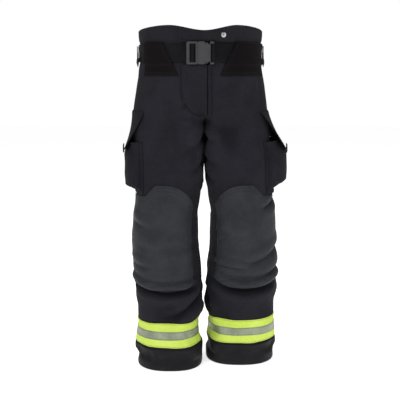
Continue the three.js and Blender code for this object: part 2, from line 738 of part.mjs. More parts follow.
function addBelt() {
  const start = roundAtX(12, BELT_Z);
  const end = 2 - Math.abs(roundAtX(-30, BELT_Z));
  const socketLift = (round) => (BELT_LIFT - 1) * (1 - smooth(round, 0.08, 0.13));
  const clipLift = (round) => BELT_LIFT * smooth(round, 1.78, 1.86);
  const inside = (round) => 0.5 + socketLift(round) + clipLift(round);
  const outside = (round) => inside(round) + BELT_THICK;
  add('belt_webbing', layer(rounds(start, end), heights(BELT_LOW, BELT_HIGH), inside, outside), 'webbing');
}

const ON_BELT = 0.5 + BELT_THICK + SEWN_GAP; // a piece that lies on the belt
const OVER_BELT = 0.5 + BELT_THICK + TUNNEL_AIR; // a piece that the belt runs through

// Sewn down above and below the belt, and standing over it between.
function overBelt(z) {
  const up = smooth(z, BELT_LOW - 6, BELT_LOW - 1);
  const down = 1 - smooth(z, BELT_HIGH + 0.6, BELT_HIGH + 4.6);
  return between(PATCH_GAP, OVER_BELT, up * down);
}

function overBeltRows(low, high) {
  const inside = ROWS.map((row) => row.z).filter((z) => z > low + 2 && z < high - 2);
  const all = [low, BELT_LOW - 6, BELT_LOW - 1, BELT_HIGH + 0.6, BELT_HIGH + 4.6, high, ...inside];
  all.sort((a, b) => a - b);
  return all.filter((z, i) => i === 0 || z - all[i - 1] > 0.5);
}

function addTunnel({ side, name, tunnel }) {
  const slantFoot = BELT_LOW - 5;
  const slantTop = BELT_HIGH + TUNNEL_RISE;
  const rows = overBeltRows(BELT_LOW - TUNNEL_DROP, slantTop);
  const front = (z) => {
    const slant = THREE.MathUtils.clamp((z - slantFoot) / (slantTop - slantFoot), 0, 1);
    return roundAtX(side * (tunnel + TUNNEL_SLANT * slant), z);
  };
  const rear = (z) => roundAtX(side * (Math.abs(cloth(side * 0.5, z, 0).x) - TUNNEL_REAR), z);
  const columns = steps(0, 1, 16).map((t) => (z) => between(front(z), rear(z), t));
  const inside = (_, z) => overBelt(z);
  const outside = (_, z) => overBelt(z) + TUNNEL_THICK;
  add(`belt_tunnel_${name}`, layer(columns, rows, inside, outside), 'tunnel');
}

function addBeltLoops() {
  const places = { right: 1.3, back: 1, left: 0.7 };
  for (const [name, round] of Object.entries(places)) {
    const rows = overBeltRows(BELT_LOW - 14, WAIST_SEAM - 0.5);
    const columns = [round - 0.03, round, round + 0.03];
    const inside = (_, z) => overBelt(z);
    const outside = (_, z) => overBelt(z) + 1.8;
    add(`belt_loop_${name}`, layer(columns, rows, inside, outside), 'shell');
  }
}

function addBuckle() {
  const buckle = new THREE.Group();
  buckle.position.set(0, -FRONT_DEPTH - BUCKLE_FORWARD, BELT_Z);
  pants.add(buckle);
  const half = BUCKLE_WIDTH / 2;
  const deep = BUCKLE_THICK / 2;

  const cavityHalf = half - SOCKET_EDGE;
  const cavityDeep = deep - SOCKET_WALL;
  const cavityEnd = SOCKET_START + SOCKET_DEPTH;
  const slotStart = cavityEnd + 3.5;
  const slotEnd = slotStart + 4;
  const socketBar = 3;
  const socket = cut(
    slabXZ(roundedOutline(SOCKET_START, SOCKET_END, -half, half, BUCKLE_CORNER), BUCKLE_THICK),
    block(SOCKET_START - 1, cavityEnd, -cavityDeep, cavityDeep, -cavityHalf, cavityHalf),
    block(0, cavityEnd + 1.5, -deep - 1, deep + 1, half - 7.5, half + 1),
    block(0, cavityEnd + 1.5, -deep - 1, deep + 1, -half - 1, -half + 7.5),
    block(slotStart, slotEnd, -deep - 1, deep + 1, -SLOT_HALF_HEIGHT, SLOT_HALF_HEIGHT),
    block(slotStart - 1, SOCKET_END + 1, socketBar, deep + 1, -SLOT_HALF_HEIGHT, SLOT_HALF_HEIGHT),
    block(slotStart - 1, SOCKET_END + 1, -deep - 1, -socketBar, -SLOT_HALF_HEIGHT, SLOT_HALF_HEIGHT),
  );
  add('buckle_socket', socket, 'plastic', buckle);

  const clipEnd = SOCKET_START - 0.3;
  const clipStart = clipEnd - CLIP_LENGTH;
  const clipDeep = CLIP_THICK / 2;
  const barStart = clipStart + 13;
  const barEnd = barStart + CLIP_BAR;
  const barDeep = 2.6;
  const clip = cut(
    join(
      slabXZ(roundedOutline(clipStart, clipEnd, -half, half, BUCKLE_CORNER), CLIP_THICK),
      block(clipEnd - 1, cavityEnd - 6, -2.5, 2.5, -7, 7),
    ),
    block(clipStart + 8.5, barStart, -deep, deep, -SLOT_HALF_HEIGHT, SLOT_HALF_HEIGHT),
    block(barEnd, barEnd + 4.9, -deep, deep, -SLOT_HALF_HEIGHT, SLOT_HALF_HEIGHT),
    block(barStart - 1, barEnd + 1, barDeep, deep, -SLOT_HALF_HEIGHT, SLOT_HALF_HEIGHT),
    block(barStart - 1, barEnd + 1, -deep, -barDeep, -SLOT_HALF_HEIGHT, SLOT_HALF_HEIGHT),
  );
  add('buckle_clip', clip, 'plastic', buckle);

  const padOut = cavityHalf - PRONG_AIR;
  for (const [name, up] of [['upper', 1], ['lower', -1]]) {
    const outline = new THREE.Shape();
    outline.moveTo(clipEnd + PRONG_ROOT_AIR, up * (padOut - 13.5));
    outline.lineTo(clipEnd + PRONG_ROOT_AIR, up * (padOut - 6.5));
    outline.lineTo(-3, up * (padOut - 7));
    outline.lineTo(1, up * padOut);
    outline.lineTo(9, up * padOut);
    outline.lineTo(cavityEnd - PRONG_TIP_AIR, up * (padOut - 7.5));
    outline.lineTo(cavityEnd - PRONG_TIP_AIR, up * (padOut - 11.5));
    outline.lineTo(-4, up * (padOut - 13));
    add(`buckle_prong_${name}`, slabXZ(outline, 6), 'plastic', buckle);
  }

  const wrapHalf = SLOT_HALF_HEIGHT - 1;
  const clipWrap = cut(
    block(barStart - 0.3 - WRAP_THICK, barEnd + 0.3 + WRAP_THICK, -5, 5, -wrapHalf, wrapHalf),
    block(barStart - 0.3, barEnd + 0.3, -barDeep - 0.3, barDeep + 0.3, -half, half),
  );
  add('belt_wrap_clip', clipWrap, 'webbing', buckle);
  const socketWrap = cut(
    block(slotEnd - 0.3 - WRAP_THICK, SOCKET_END + 0.3 + WRAP_THICK, -5.5, 5.5, -wrapHalf, wrapHalf),
    block(slotEnd - 0.3, SOCKET_END + 0.3, -socketBar - 0.3, socketBar + 0.3, -half, half),
  );
  add('belt_wrap_socket', socketWrap, 'webbing', buckle);
}

function addTakeUp({ side, name }) {
  const share = shareOf(STRAP_LENGTH / 2, side, BELT_Z);
  const low = BELT_Z - STRAP_WIDTH / 2;
  const high = BELT_Z + STRAP_WIDTH / 2;
  const ends = [side * 0.5 - share, side * 0.5 + share];
  const strap = layer(rounds(...ends), heights(low, high), ON_BELT, ON_BELT + STRAP_THICK);
  add(`side_strap_${name}`, strap, 'webbing');

  const halfTall = SIDE_BUCKLE_HEIGHT / 2;
  const frame = roundedOutline(-SIDE_BUCKLE_WIDTH, 0, -halfTall, halfTall, 2.5);
  const bar = SIDE_BUCKLE_BAR;
  const hole = roundedOutline(-SIDE_BUCKLE_WIDTH + bar, -bar, -halfTall + bar, halfTall - bar, 1);
  frame.holes.push(hole);
  const buckle = new THREE.Group();
  const strapFace = (z) => Math.abs(cloth(side * 0.5, z, ON_BELT + STRAP_THICK).x);
  const x = Math.max(strapFace(low), strapFace(BELT_Z), strapFace(high)) + 0.4 + bar / 2;
  buckle.position.set(side * x, OUTSEAM_BACK, BELT_Z);
  buckle.rotation.z = Math.PI / 2;
  add(`side_buckle_${name}`, slabXZ(frame, bar, 2), 'steel', buckle);
  pants.add(buckle);
}

// ---------------------------------------------------------------- cargo pockets

const POCKET_TOP = INSEAM - POCKET_TOP_DROP;
const POCKET_BOTTOM = POCKET_TOP - POCKET_HEIGHT;

function pocketShare(length, side) {
  return shareOf(length, side, POCKET_BOTTOM + POCKET_HEIGHT / 2);
}

// How far the pocket's inner face stands off the leg: flat on its sewn edge, then bulging.
function pocketShape({ side, bulge }, round, z) {
  const seam = pocketShare(POCKET_WIDTH / 2 - POCKET_FLANGE, side);
  const aside = Math.abs(Math.abs(round) - 0.5) / seam;
  const up = (z - POCKET_BOTTOM - POCKET_FLANGE) / POCKET_HEIGHT;
  if (aside >= 0.999 || up <= 0) {
    return PATCH_GAP;
  }
  const across = (1 - aside ** 3) ** 0.6;
  const rising = Math.min(1, up / 0.16) ** 0.6;
  const mouth = between(1, MOUTH_SHARE, smooth(up, 0.3, 0.95));
  return PATCH_GAP + bulge * across * rising * mouth;
}

function addPocket(spec) {
  const { side, name } = spec;
  const wide = pocketShare(POCKET_WIDTH / 2, side);
  const seam = pocketShare(POCKET_WIDTH / 2 - POCKET_FLANGE, side);
  const shoulder = 0.89 * seam;
  const ways = rounds(0.5 - shoulder, 0.5 + shoulder);
  const columns = [0.5 - wide, 0.5 - seam, ...ways, 0.5 + seam, 0.5 + wide].map((u) => side * u);
  const low = [0, POCKET_FLANGE, POCKET_FLANGE + 7, POCKET_FLANGE + 24].map((up) => POCKET_BOTTOM + up);
  const rows = [...low, ...heights(POCKET_BOTTOM + 60, POCKET_TOP)];
  const inside = (round, z) => pocketShape(spec, round, z);
  const outside = (round, z) => inside(round, z) + POCKET_THICK;
  add(`pocket_${name}`, layer(columns, rows, inside, outside), 'shell');
}

// The flap is sewn along the curve of the hip and hangs straight along its lower edge.
function pocketFlapFace(spec, out) {
  const { side } = spec;
  const hinge = INSEAM + POCKET_FLAP_RISE;
  const low = hinge - POCKET_FLAP_DROP;
  const wide = pocketShare(POCKET_WIDTH / 2, side);
  const pocketX = Math.abs(cloth(side * 0.5, low, pocketShape(spec, 0.5, low) + POCKET_THICK).x);
  const lowX = pocketX + FLAP_OVER_POCKET + out;
  const middleY = cloth(side * 0.5, POCKET_TOP, 0).y;
  return [0, 0.06, 0.12, 0.3, 0.55, 0.8, 1].map((t) => steps(-1, 1, 12).map((aside) => {
    const top = cloth(side * (0.5 + wide * aside), hinge, PATCH_GAP + 1.2 * aside * aside + out);
    return new THREE.Vector3(
      between(top.x, side * lowX, Math.sin(t * Math.PI / 2)),
      between(top.y, middleY + aside * POCKET_FLAP_HALF, t),
      hinge - t * POCKET_FLAP_DROP,
    );
  }));
}

function addPocketFlap(spec) {
  const outer = pocketFlapFace(spec, POCKET_FLAP_THICK);
  const inner = pocketFlapFace(spec, 0);
  add(`pocket_flap_${spec.name}`, plate(outer, inner), 'shell');
  const low = outer[outer.length - 1][4];
  const x = Math.abs(low.x) + 0.4 + TAB_THICK / 2;
  const tab = new THREE.BoxGeometry(TAB_THICK, TAB_WIDTH, TAB_LENGTH);
  tab.translate(spec.side * x, low.y, low.z + 4);
  add(`pull_tab_${spec.name}`, tab, 'webbing');
}

// ---------------------------------------------------------------- knees, trim and cuffs

// The patch is lower along its outer part, where the pocket is above it.
function kneeTop(round) {
  const full = KNEE_BOTTOM + KNEE_HEIGHT;
  const low = Math.min(full, POCKET_BOTTOM - KNEE_UNDER_POCKET);
  return between(full, low, smooth(Math.abs(round), 0.31, 0.35));
}

function kneeDome(round, up) {
  const middle = (KNEE_INNER + KNEE_OUTER) / 2;
  const across = Math.abs(Math.abs(round) - middle) / (KNEE_OUTER - middle);
  const along = Math.abs(2 * up - 1);
  return KNEE_DOME * Math.max(0, 1 - across ** 3) * Math.max(0, 1 - along ** 3);
}

function addKnee({ side, name }) {
  const full = KNEE_BOTTOM + KNEE_HEIGHT;
  const ways = rounds(KNEE_INNER, KNEE_OUTER).map((u) => side * u);
  const rowUps = heights(KNEE_BOTTOM, full).map((z) => (z - KNEE_BOTTOM) / KNEE_HEIGHT);
  const fineUps = steps(0, 1, 20).filter((up) => rowUps.every((other) => Math.abs(up - other) > 0.01));
  const ups = [...rowUps, ...fineUps].sort((a, b) => a - b);
  const face = (columns, rows, out) => rows.map((up) => columns.map((round) => {
    const z = between(KNEE_BOTTOM, kneeTop(round), up);
    return cloth(round, z, out(round, up));
  }));
  const inside = (round, up) => PATCH_GAP + kneeDome(round, up);
  const outside = (round, up) => inside(round, up) + KNEE_PATCH_THICK;
  add(`knee_patch_${name}`, plate(face(ways, ups, outside), face(ways, ups, inside)), 'leather');
  const padWays = ways.slice(1, -1);
  const padUps = ups.slice(2, -2);
  const padTop = (round, up) => inside(round, up) - SEWN_GAP;
  const padBack = () => PATCH_GAP + 1;
  const pad = plate(face(padWays, padUps, padTop), face(padWays, padUps, padBack));
  add(`knee_pad_${name}`, pad, 'foam');
}

function addTrim({ side, name }) {
  const ways = rounds(EDGE, 1 - EDGE).map((u) => side * u);
  const top = TRIM_BOTTOM + TRIM_WIDTH;
  const middle = TRIM_BOTTOM + TRIM_WIDTH / 2;
  const trimTop = TRIM_GAP + TRIM_THICK;
  add(`trim_band_${name}`, layer(ways, heights(TRIM_BOTTOM, top), TRIM_GAP, trimTop), 'lime');
  const silverRows = heights(middle - SILVER_WIDTH / 2, middle + SILVER_WIDTH / 2);
  const silverTop = trimTop + 0.3 + SILVER_THICK;
  add(`trim_silver_${name}`, layer(ways, silverRows, trimTop + 0.3, silverTop), 'silver');
  const cuff = layer(ways, heights(0, CUFF_HEIGHT), TRIM_GAP, TRIM_GAP + CUFF_THICK);
  add(`cuff_${name}`, cuff, 'leather');
}

// ---------------------------------------------------------------- the whole

for (const spec of SIDES) {
  addPanels(spec);
  addLiner(spec);
  addTunnel(spec);
  addTakeUp(spec);
  addPocket(spec);
  addPocketFlap(spec);
  addKnee(spec);
  addTrim(spec);
}
addSnapCap(addWaistband());
addFly();
addZipper();
addBelt();
addBeltLoops();
addBuckle();

// The origin is on the floor, under the middle of the whole.
pants.updateMatrixWorld(true);
const middle = new THREE.Box3().setFromObject(pants).getCenter(new THREE.Vector3());
pants.position.set(-Math.round(middle.x), -Math.round(middle.y), 0);

export default pants;
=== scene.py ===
"""Firefighter's bunker pants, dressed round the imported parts: shell, liners, waistband, fly,
belt, cargo pockets, knees, reflective trim and cuffs. Lengths are in millimetres about the
centre line of the trousers until a piece is made, and the pieces are in metres."""

import math

import bpy
import numpy as np
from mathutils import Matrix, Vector


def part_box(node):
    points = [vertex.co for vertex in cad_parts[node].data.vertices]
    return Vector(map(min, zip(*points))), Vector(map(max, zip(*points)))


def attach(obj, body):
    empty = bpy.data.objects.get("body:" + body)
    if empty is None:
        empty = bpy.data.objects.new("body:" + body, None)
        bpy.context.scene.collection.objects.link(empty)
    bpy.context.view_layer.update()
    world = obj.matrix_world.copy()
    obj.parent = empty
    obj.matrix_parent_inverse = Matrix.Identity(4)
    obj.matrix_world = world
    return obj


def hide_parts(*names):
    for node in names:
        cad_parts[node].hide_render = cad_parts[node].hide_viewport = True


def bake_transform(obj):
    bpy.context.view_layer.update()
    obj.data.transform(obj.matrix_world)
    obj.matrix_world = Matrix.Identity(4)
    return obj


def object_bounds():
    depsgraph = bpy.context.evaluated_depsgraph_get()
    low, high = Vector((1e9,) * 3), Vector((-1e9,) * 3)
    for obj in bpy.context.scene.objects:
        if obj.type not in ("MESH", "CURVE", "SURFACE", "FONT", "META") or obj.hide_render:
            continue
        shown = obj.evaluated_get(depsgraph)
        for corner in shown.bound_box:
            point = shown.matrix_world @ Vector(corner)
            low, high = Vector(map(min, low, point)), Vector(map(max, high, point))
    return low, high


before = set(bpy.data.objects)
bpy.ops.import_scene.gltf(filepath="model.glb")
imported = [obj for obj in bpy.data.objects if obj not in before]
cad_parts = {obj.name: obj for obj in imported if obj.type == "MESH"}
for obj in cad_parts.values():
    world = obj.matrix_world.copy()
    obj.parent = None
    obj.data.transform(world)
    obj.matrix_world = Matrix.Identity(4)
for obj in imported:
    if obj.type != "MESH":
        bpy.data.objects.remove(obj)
cad_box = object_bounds()

MM = 0.001
SIDES = (("right", -1), ("left", 1))  # the wearer's right is at -X


def box_mm(node):
    """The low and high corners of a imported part's box in the frame."""
    low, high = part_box(node)
    return np.array(low) / MM, np.array(high) / MM


# The centre line of the trousers in the frame: half the buckle lies about it.
SOCKET_START = -18.7
BUCKLE_FORWARD = 130.5
socket_low, socket_high = box_mm("buckle_socket")
CENTRE = np.array([
    socket_low[0] - SOCKET_START,
    (socket_low[1] + socket_high[1]) / 2 + BUCKLE_FORWARD,
    0.0,
])

# ---------------------------------------------------------------- sizes of the trousers

INSEAM = 730.0
LEG_REACH, LEG_GAP, WAIST_REACH = 220.0, 19.0, 177.0
FRONT_DEPTH, BACK_DEPTH = 120.0, 146.0
SIDE_LEAN, RIGHT_STEP, LEFT_STEP = 12.0, -30.0, 18.0
FLY_RISE, SEAT_RISE = 60.0, 110.0
CROTCH_BACK, OUTSEAM_BACK = 10.0, 5.0
OUTSEAM = cad_box[1].z / MM
WAIST_SEAM = OUTSEAM - 43
FLY_FOOT, SEAT_TOP = INSEAM + FLY_RISE, INSEAM + SEAT_RISE
FLY_TOP = box_mm("fly_flap")[1][2]
BELT_LOW, BELT_HIGH = box_mm("belt_webbing")[0][2], box_mm("belt_webbing")[1][2]
BELT_Z = (BELT_LOW + BELT_HIGH) / 2
KNEE_LOW, KNEE_HIGH = box_mm("knee_patch_left")[0][2], box_mm("knee_patch_left")[1][2]
TRIM_LOW, TRIM_HIGH = box_mm("trim_band_left")[0][2], box_mm("trim_band_left")[1][2]
CUFF_HIGH = box_mm("cuff_left")[1][2]
POCKET_LOW, POCKET_HIGH = box_mm("pocket_left")[0][2], box_mm("pocket_left")[1][2]
FLAP_HIGH = box_mm("pocket_flap_left")[1][2]

SHELL = 1.6  # thickness of the shell's cloth
PATCH_AIR = 0.9  # air under a piece that is sewn on

# Height as a share of the inseam, then how far out the outseam, inseam, front and back stand,
# as shares of their greatest reach, and where the front and back are fullest.
LEG_ROWS = (
    (0, 0.94, 0.47, 0.73, 0.63, 0.5),
    (0.09, 0.955, 0.68, 0.725, 0.616, 0.5),
    (0.185, 0.94, 0.9, 0.717, 0.596, 0.5),
    (0.267, 0.96, 0.37, 0.75, 0.575, 0.5),
    (0.35, 0.99, 0.37, 0.8, 0.562, 0.5),
    (0.452, 1, 0.63, 0.858, 0.562, 0.5),
    (0.562, 1, 1, 0.892, 0.575, 0.5),
    (0.658, 0.977, 1, 0.917, 0.616, 0.5),
    (0.753, 0.945, 0.58, 0.942, 0.671, 0.48),
    (0.849, 0.95, 0.16, 0.967, 0.753, 0.44),
    (0.932, 0.955, 0.03, 0.988, 0.847, 0.37),
    (0.98, 0.953, 0, 0.996, 0.904, 0.3),
    (1, 0.951, 0, 1, 0.929, 0.25),
)
# Height, how far the side has come in from hip to waist, the back, and the fullest place.
WAIST_ROWS = (
    (INSEAM + 10.2, 0, 0.945, 0.22),
    (INSEAM + 25.2, 0.03, 0.962, 0.16),
    (INSEAM + 45, 0.07, 0.979, 0.08),
    (FLY_FOOT, 0.11, 0.988, 0.045),
    (815, 0.235, 0.997, 0.02),
    (SEAT_TOP, 0.375, 1, 0),
    (910.5, 0.78, 0.932, 0),
    (955.5, 1, 0.877, 0),
    (WAIST_SEAM, 0.906, 0.87, 0),
    (OUTSEAM + 12, 0.78, 0.87, 0),
)
HIP_REACH = 0.95 * LEG_REACH
ROWS = np.array(
    [(h * INSEAM, r * LEG_REACH, g * LEG_GAP, f * FRONT_DEPTH, b * BACK_DEPTH, at)
     for h, r, g, f, b, at in LEG_ROWS]
    + [(z, HIP_REACH + (WAIST_REACH - HIP_REACH) * w, 0, FRONT_DEPTH, b * BACK_DEPTH, at)
       for z, w, b, at in WAIST_ROWS],
    float,
)


def smooth(x, low, high):
    t = np.clip((np.asarray(x, float) - low) / (high - low), 0, 1)
    return t * t * (3 - 2 * t)


def curve_through(x, y, at):
    """A smooth curve through points that doesn't overshoot them."""
    step = np.diff(x)
    slope = np.diff(y) / step
    left, right = slope[:-1], slope[1:]
    ahead, behind = 2 * step[1:] + step[:-1], step[1:] + 2 * step[:-1]
    same = left * right > 0
    safe_left, safe_right = np.where(same, left, 1), np.where(same, right, 1)
    inner = np.where(same, (ahead + behind) / (ahead / safe_left + behind / safe_right), 0)
    lean = np.concatenate([[slope[0]], inner, [slope[-1]]])
    i = np.clip(np.searchsorted(x, at) - 1, 0, len(step) - 1)
    t = (at - x[i]) / step[i]
    t2, t3 = t * t, t * t * t
    return (
        (2 * t3 - 3 * t2 + 1) * y[i] + (t3 - 2 * t2 + t) * step[i] * lean[i]
        + (3 * t2 - 2 * t3) * y[i + 1] + (t3 - t2) * step[i] * lean[i + 1]
    )


# ---------------------------------------------------------------- the surface of the shell

HEIGHTS = np.concatenate([
    np.linspace(0, 715, 205)[:-1],
    np.linspace(715, 790, 46)[:-1],
    np.linspace(790, OUTSEAM + 6, 72),
])
WAYS = np.linspace(0, 1, 161)  # from the centre front, by the outseam, to the centre back
FIRST_WAY, LAST_WAY = 1e-6, 0.999999  # just off the centre lines, so that the side is known
TURN = np.linspace(0, math.pi / 2, 70)


def all_round(count):
    """Ways right round one side."""
    return np.clip(np.linspace(0, 1, count), FIRST_WAY, LAST_WAY)


def quarter(x0, y0, x1, y1, power, from_x):
    """A quarter of a rounded rectangle in each row."""
    rise = np.sin(TURN) ** (2 / power)
    run = 1 - np.cos(TURN) ** (2 / power)
    tx, ty = (run, rise) if from_x else (rise, run)
    return np.stack([
        x0[:, None] + (x1 - x0)[:, None] * tx,
        y0[:, None] + (y1 - y0)[:, None] * ty,
    ], axis=2)


def spread_along(line, shares):
    """Points at shares of the way along each row's line."""
    steps = np.linalg.norm(np.diff(line, axis=1), axis=2)
    reach = np.concatenate([np.zeros((len(line), 1)), np.cumsum(steps, axis=1)], axis=1)
    found = np.empty((len(line), len(shares), 2))
    for i in range(len(line)):
        goal = shares * reach[i, -1]
        for axis in range(2):
            found[i, :, axis] = np.interp(goal, reach[i], line[i, :, axis])
    return found


def plain_shell(side):
    """The trousers' surface on one side without folds, as rows of points."""
    z = HEIGHTS
    reach, gap, front, back, full = (curve_through(ROWS[:, 0], ROWS[:, k], z) for k in range(1, 6))
    reach = reach - side * SIDE_LEAN * smooth(z, INSEAM - 110, INSEAM + 40)
    gap = np.maximum(gap, 0)
    rise_front = np.sin(np.clip((z - INSEAM) / FLY_RISE, 0, 1) * math.pi / 2)
    rise_back = np.sin(np.clip((z - INSEAM) / SEAT_RISE, 0, 1) * math.pi / 2)
    front_y = CROTCH_BACK + (-front - CROTCH_BACK) * rise_front
    back_y = CROTCH_BACK + (back - CROTCH_BACK) * rise_back
    full_x = gap + (reach - gap) * full
    at_side = np.full_like(z, OUTSEAM_BACK)
    front_line = np.concatenate([
        quarter(gap, front_y, full_x, -front, 2.6, True),
        quarter(full_x, -front, reach, at_side, 2.3, False),
    ], axis=1)
    back_line = np.concatenate([
        quarter(reach, at_side, full_x, back, 2.1, True),
        quarter(full_x, back, gap, back_y, 2.6, False),
    ], axis=1)
    half = len(WAYS) // 2
    flat = np.concatenate([
        spread_along(front_line, WAYS[: half + 1] * 2),
        spread_along(back_line, WAYS[half + 1 :] * 2 - 1),
    ], axis=1)
    stride = RIGHT_STEP if side < 0 else LEFT_STEP
    step = stride * np.maximum(0, 1 - z / (INSEAM - 30))
    heights = np.broadcast_to(z[:, None], flat.shape[:2])
    return np.stack([side * flat[:, :, 0], flat[:, :, 1] + step[:, None], heights], axis=2)


def outward(points):
    """Normals of both sides' rows of points, out of the trousers."""
    across = np.gradient(points, axis=2)
    up = np.gradient(points, axis=1)
    n = np.cross(across, up) * np.array([-1, 1])[:, None, None, None]
    legs = HEIGHTS < INSEAM
    for k in range(2):
        joined = n[k, legs, 0] + n[k, legs, -1]
        n[k, legs, 0] = joined
        n[k, legs, -1] = joined
    for edge in (0, -1):
        n[:, ~legs, edge, 0] = 0  # the two sides meet here
    return n / np.maximum(np.linalg.norm(n, axis=3, keepdims=True), 1e-9)


shell = np.stack([plain_shell(side) for _, side in SIDES])
normals = outward(shell)
crest = np.zeros(shell.shape[:3])  # how far a fold stands up at each point


def way_at(x, z):
    """The way round at which the shell's front stands at x, negative on the right."""
    k = 0 if x < 0 else 1
    row = int(np.searchsorted(HEIGHTS, min(max(z, 0), HEIGHTS[-1]) - 1e-6))
    half = len(WAYS) // 2
    reached = np.maximum.accumulate(np.abs(shell[k, row, : half + 1, 0]))
    u = float(np.interp(abs(x), reached, WAYS[: half + 1]))
    return math.copysign(u, x)


def mixed(grid, k, row, column):
    """Values of a grid of rows and columns between its points."""
    i = np.minimum(row.astype(int), grid.shape[1] - 2)
    j = np.minimum(column.astype(int), grid.shape[2] - 2)
    a, b = row - i, column - j
    if grid.ndim == 4:
        a, b = a[..., None], b[..., None]
    low = grid[k, i, j] * (1 - b) + grid[k, i, j + 1] * b
    high = grid[k, i + 1, j] * (1 - b) + grid[k, i + 1, j + 1] * b
    return low * (1 - a) + high * a


def place(way, z):
    """The side, row and column, with fractions, of each way round and height."""
    way, z = np.broadcast_arrays(np.asarray(way, float), np.asarray(z, float))
    k = np.where((way < 0) | (way > 1), 0, 1)
    u = np.clip(np.where(way > 1, 2 - way, np.abs(way)), 0, 1)
    row = np.interp(z, HEIGHTS, np.arange(len(HEIGHTS)))
    return k, row, u * (len(WAYS) - 1)


def cloth(way, z, out=0.0):
    """Points off the shell. A way runs from 0 at centre front to 1 at centre back on the left,
    is negative on the right, and past 1 runs on over the right side from the centre back."""
    at = place(way, z)
    n = mixed(normals, *at)
    n = n / np.maximum(np.linalg.norm(n, axis=-1, keepdims=True), 1e-9)
    return mixed(shell, *at) + n * np.asarray(out, float)[..., None], n


def girth(side, z):
    """The length of cloth round one side at a height."""
    p, _ = cloth(all_round(200) * side, z)
    return float(np.linalg.norm(np.diff(p, axis=0), axis=1).sum())


# ---------------------------------------------------------------- folds

def under_trim(z):
    """1 where the trim is sewn on, which holds the cloth flat."""
    return smooth(z, 45, 75) * (1 - smooth(z, 140, 170))


def fold_along(side, path, depth, width, lift, straight_back=False):
    """Presses a valley along a path of (way, height) and raises the cloth beside it. The valley
    goes in along the cloth's normal, or straight back towards the seat."""
    k = 0 if side < 0 else 1
    ways, heights = np.array(path, float).T
    count = 12
    share = np.linspace(0, len(path) - 1, count)
    line, _ = cloth(side * np.interp(share, range(len(path)), ways),
                    np.interp(share, range(len(path)), heights))
    points = shell[k]
    near = np.full(points.shape[:2], np.inf)
    signed = np.zeros(points.shape[:2])
    part = np.zeros(points.shape[:2])
    for i in range(count - 1):
        a, d = line[i], line[i + 1] - line[i]
        t = np.clip(((points - a) @ d) / (d @ d), 0, 1)
        away = points - a - t[..., None] * d
        distance = np.linalg.norm(away, axis=2)
        better = distance < near
        near = np.where(better, distance, near)
        side_of = np.einsum("ijk,ijk->ij", np.cross(d, away), normals[k])
        signed = np.where(better, np.sign(side_of) * distance, signed)
        part = np.where(better, (i + t) / (count - 1), part)
    fade = np.sin(np.clip(part, 0, 1) * math.pi) ** 0.6
    end = np.minimum(*(np.linalg.norm(points - tip, axis=2) for tip in (line[0], line[-1])))
    fade = fade * smooth(end, 0, width)
    t = signed / width
    hills = ((0, 1), (1.7, 1.15), (-1.9, 1.3))
    valley, above, below = (np.exp(-((t - at) / wide) ** 2) for at, wide in hills)
    shape = -valley + lift * above + 0.4 * below
    rise = depth * fade * shape * (1 - 0.75 * under_trim(points[..., 2]))
    points += (np.array([0, -1, 0]) if straight_back else normals[k]) * rise[..., None]
    crest[k] += rise


def soft_waves():
    """Broad, shallow swells of the padded cloth, quiet at the waist and where trim is sewn."""
    for k, (_, side) in enumerate(SIDES):
        p = shell[k]
        x, y, z = p[..., 0], p[..., 1], p[..., 2]
        around = np.arctan2(y - 10, x - side * 110)
        swell = (
            np.sin(z / 41 + 2.1 * np.sin(around + 0.7 * side) + side)
            * np.cos(1.6 * around + z / 97 + 2 * side)
            + 0.6 * np.sin(z / 23 - 1.7 * around + 1.3 * side) * np.sin(2.3 * around + z / 60)
            + 0.35 * np.sin(z / 13.5 + 3.1 * around - side) * np.cos(4.1 * around - z / 45 + side)
        )
        at_knee = smooth(z, KNEE_LOW + 20, KNEE_LOW + 60) * (1 - smooth(z, KNEE_HIGH - 60, KNEE_HIGH))
        quiet = smooth(z, 20, 60) * (1 - smooth(z, 870, 925)) * (1 - 0.65 * at_knee)
        rise = 1.5 * swell * quiet
        shell[k] += normals[k] * rise[..., None]
        crest[k] += rise


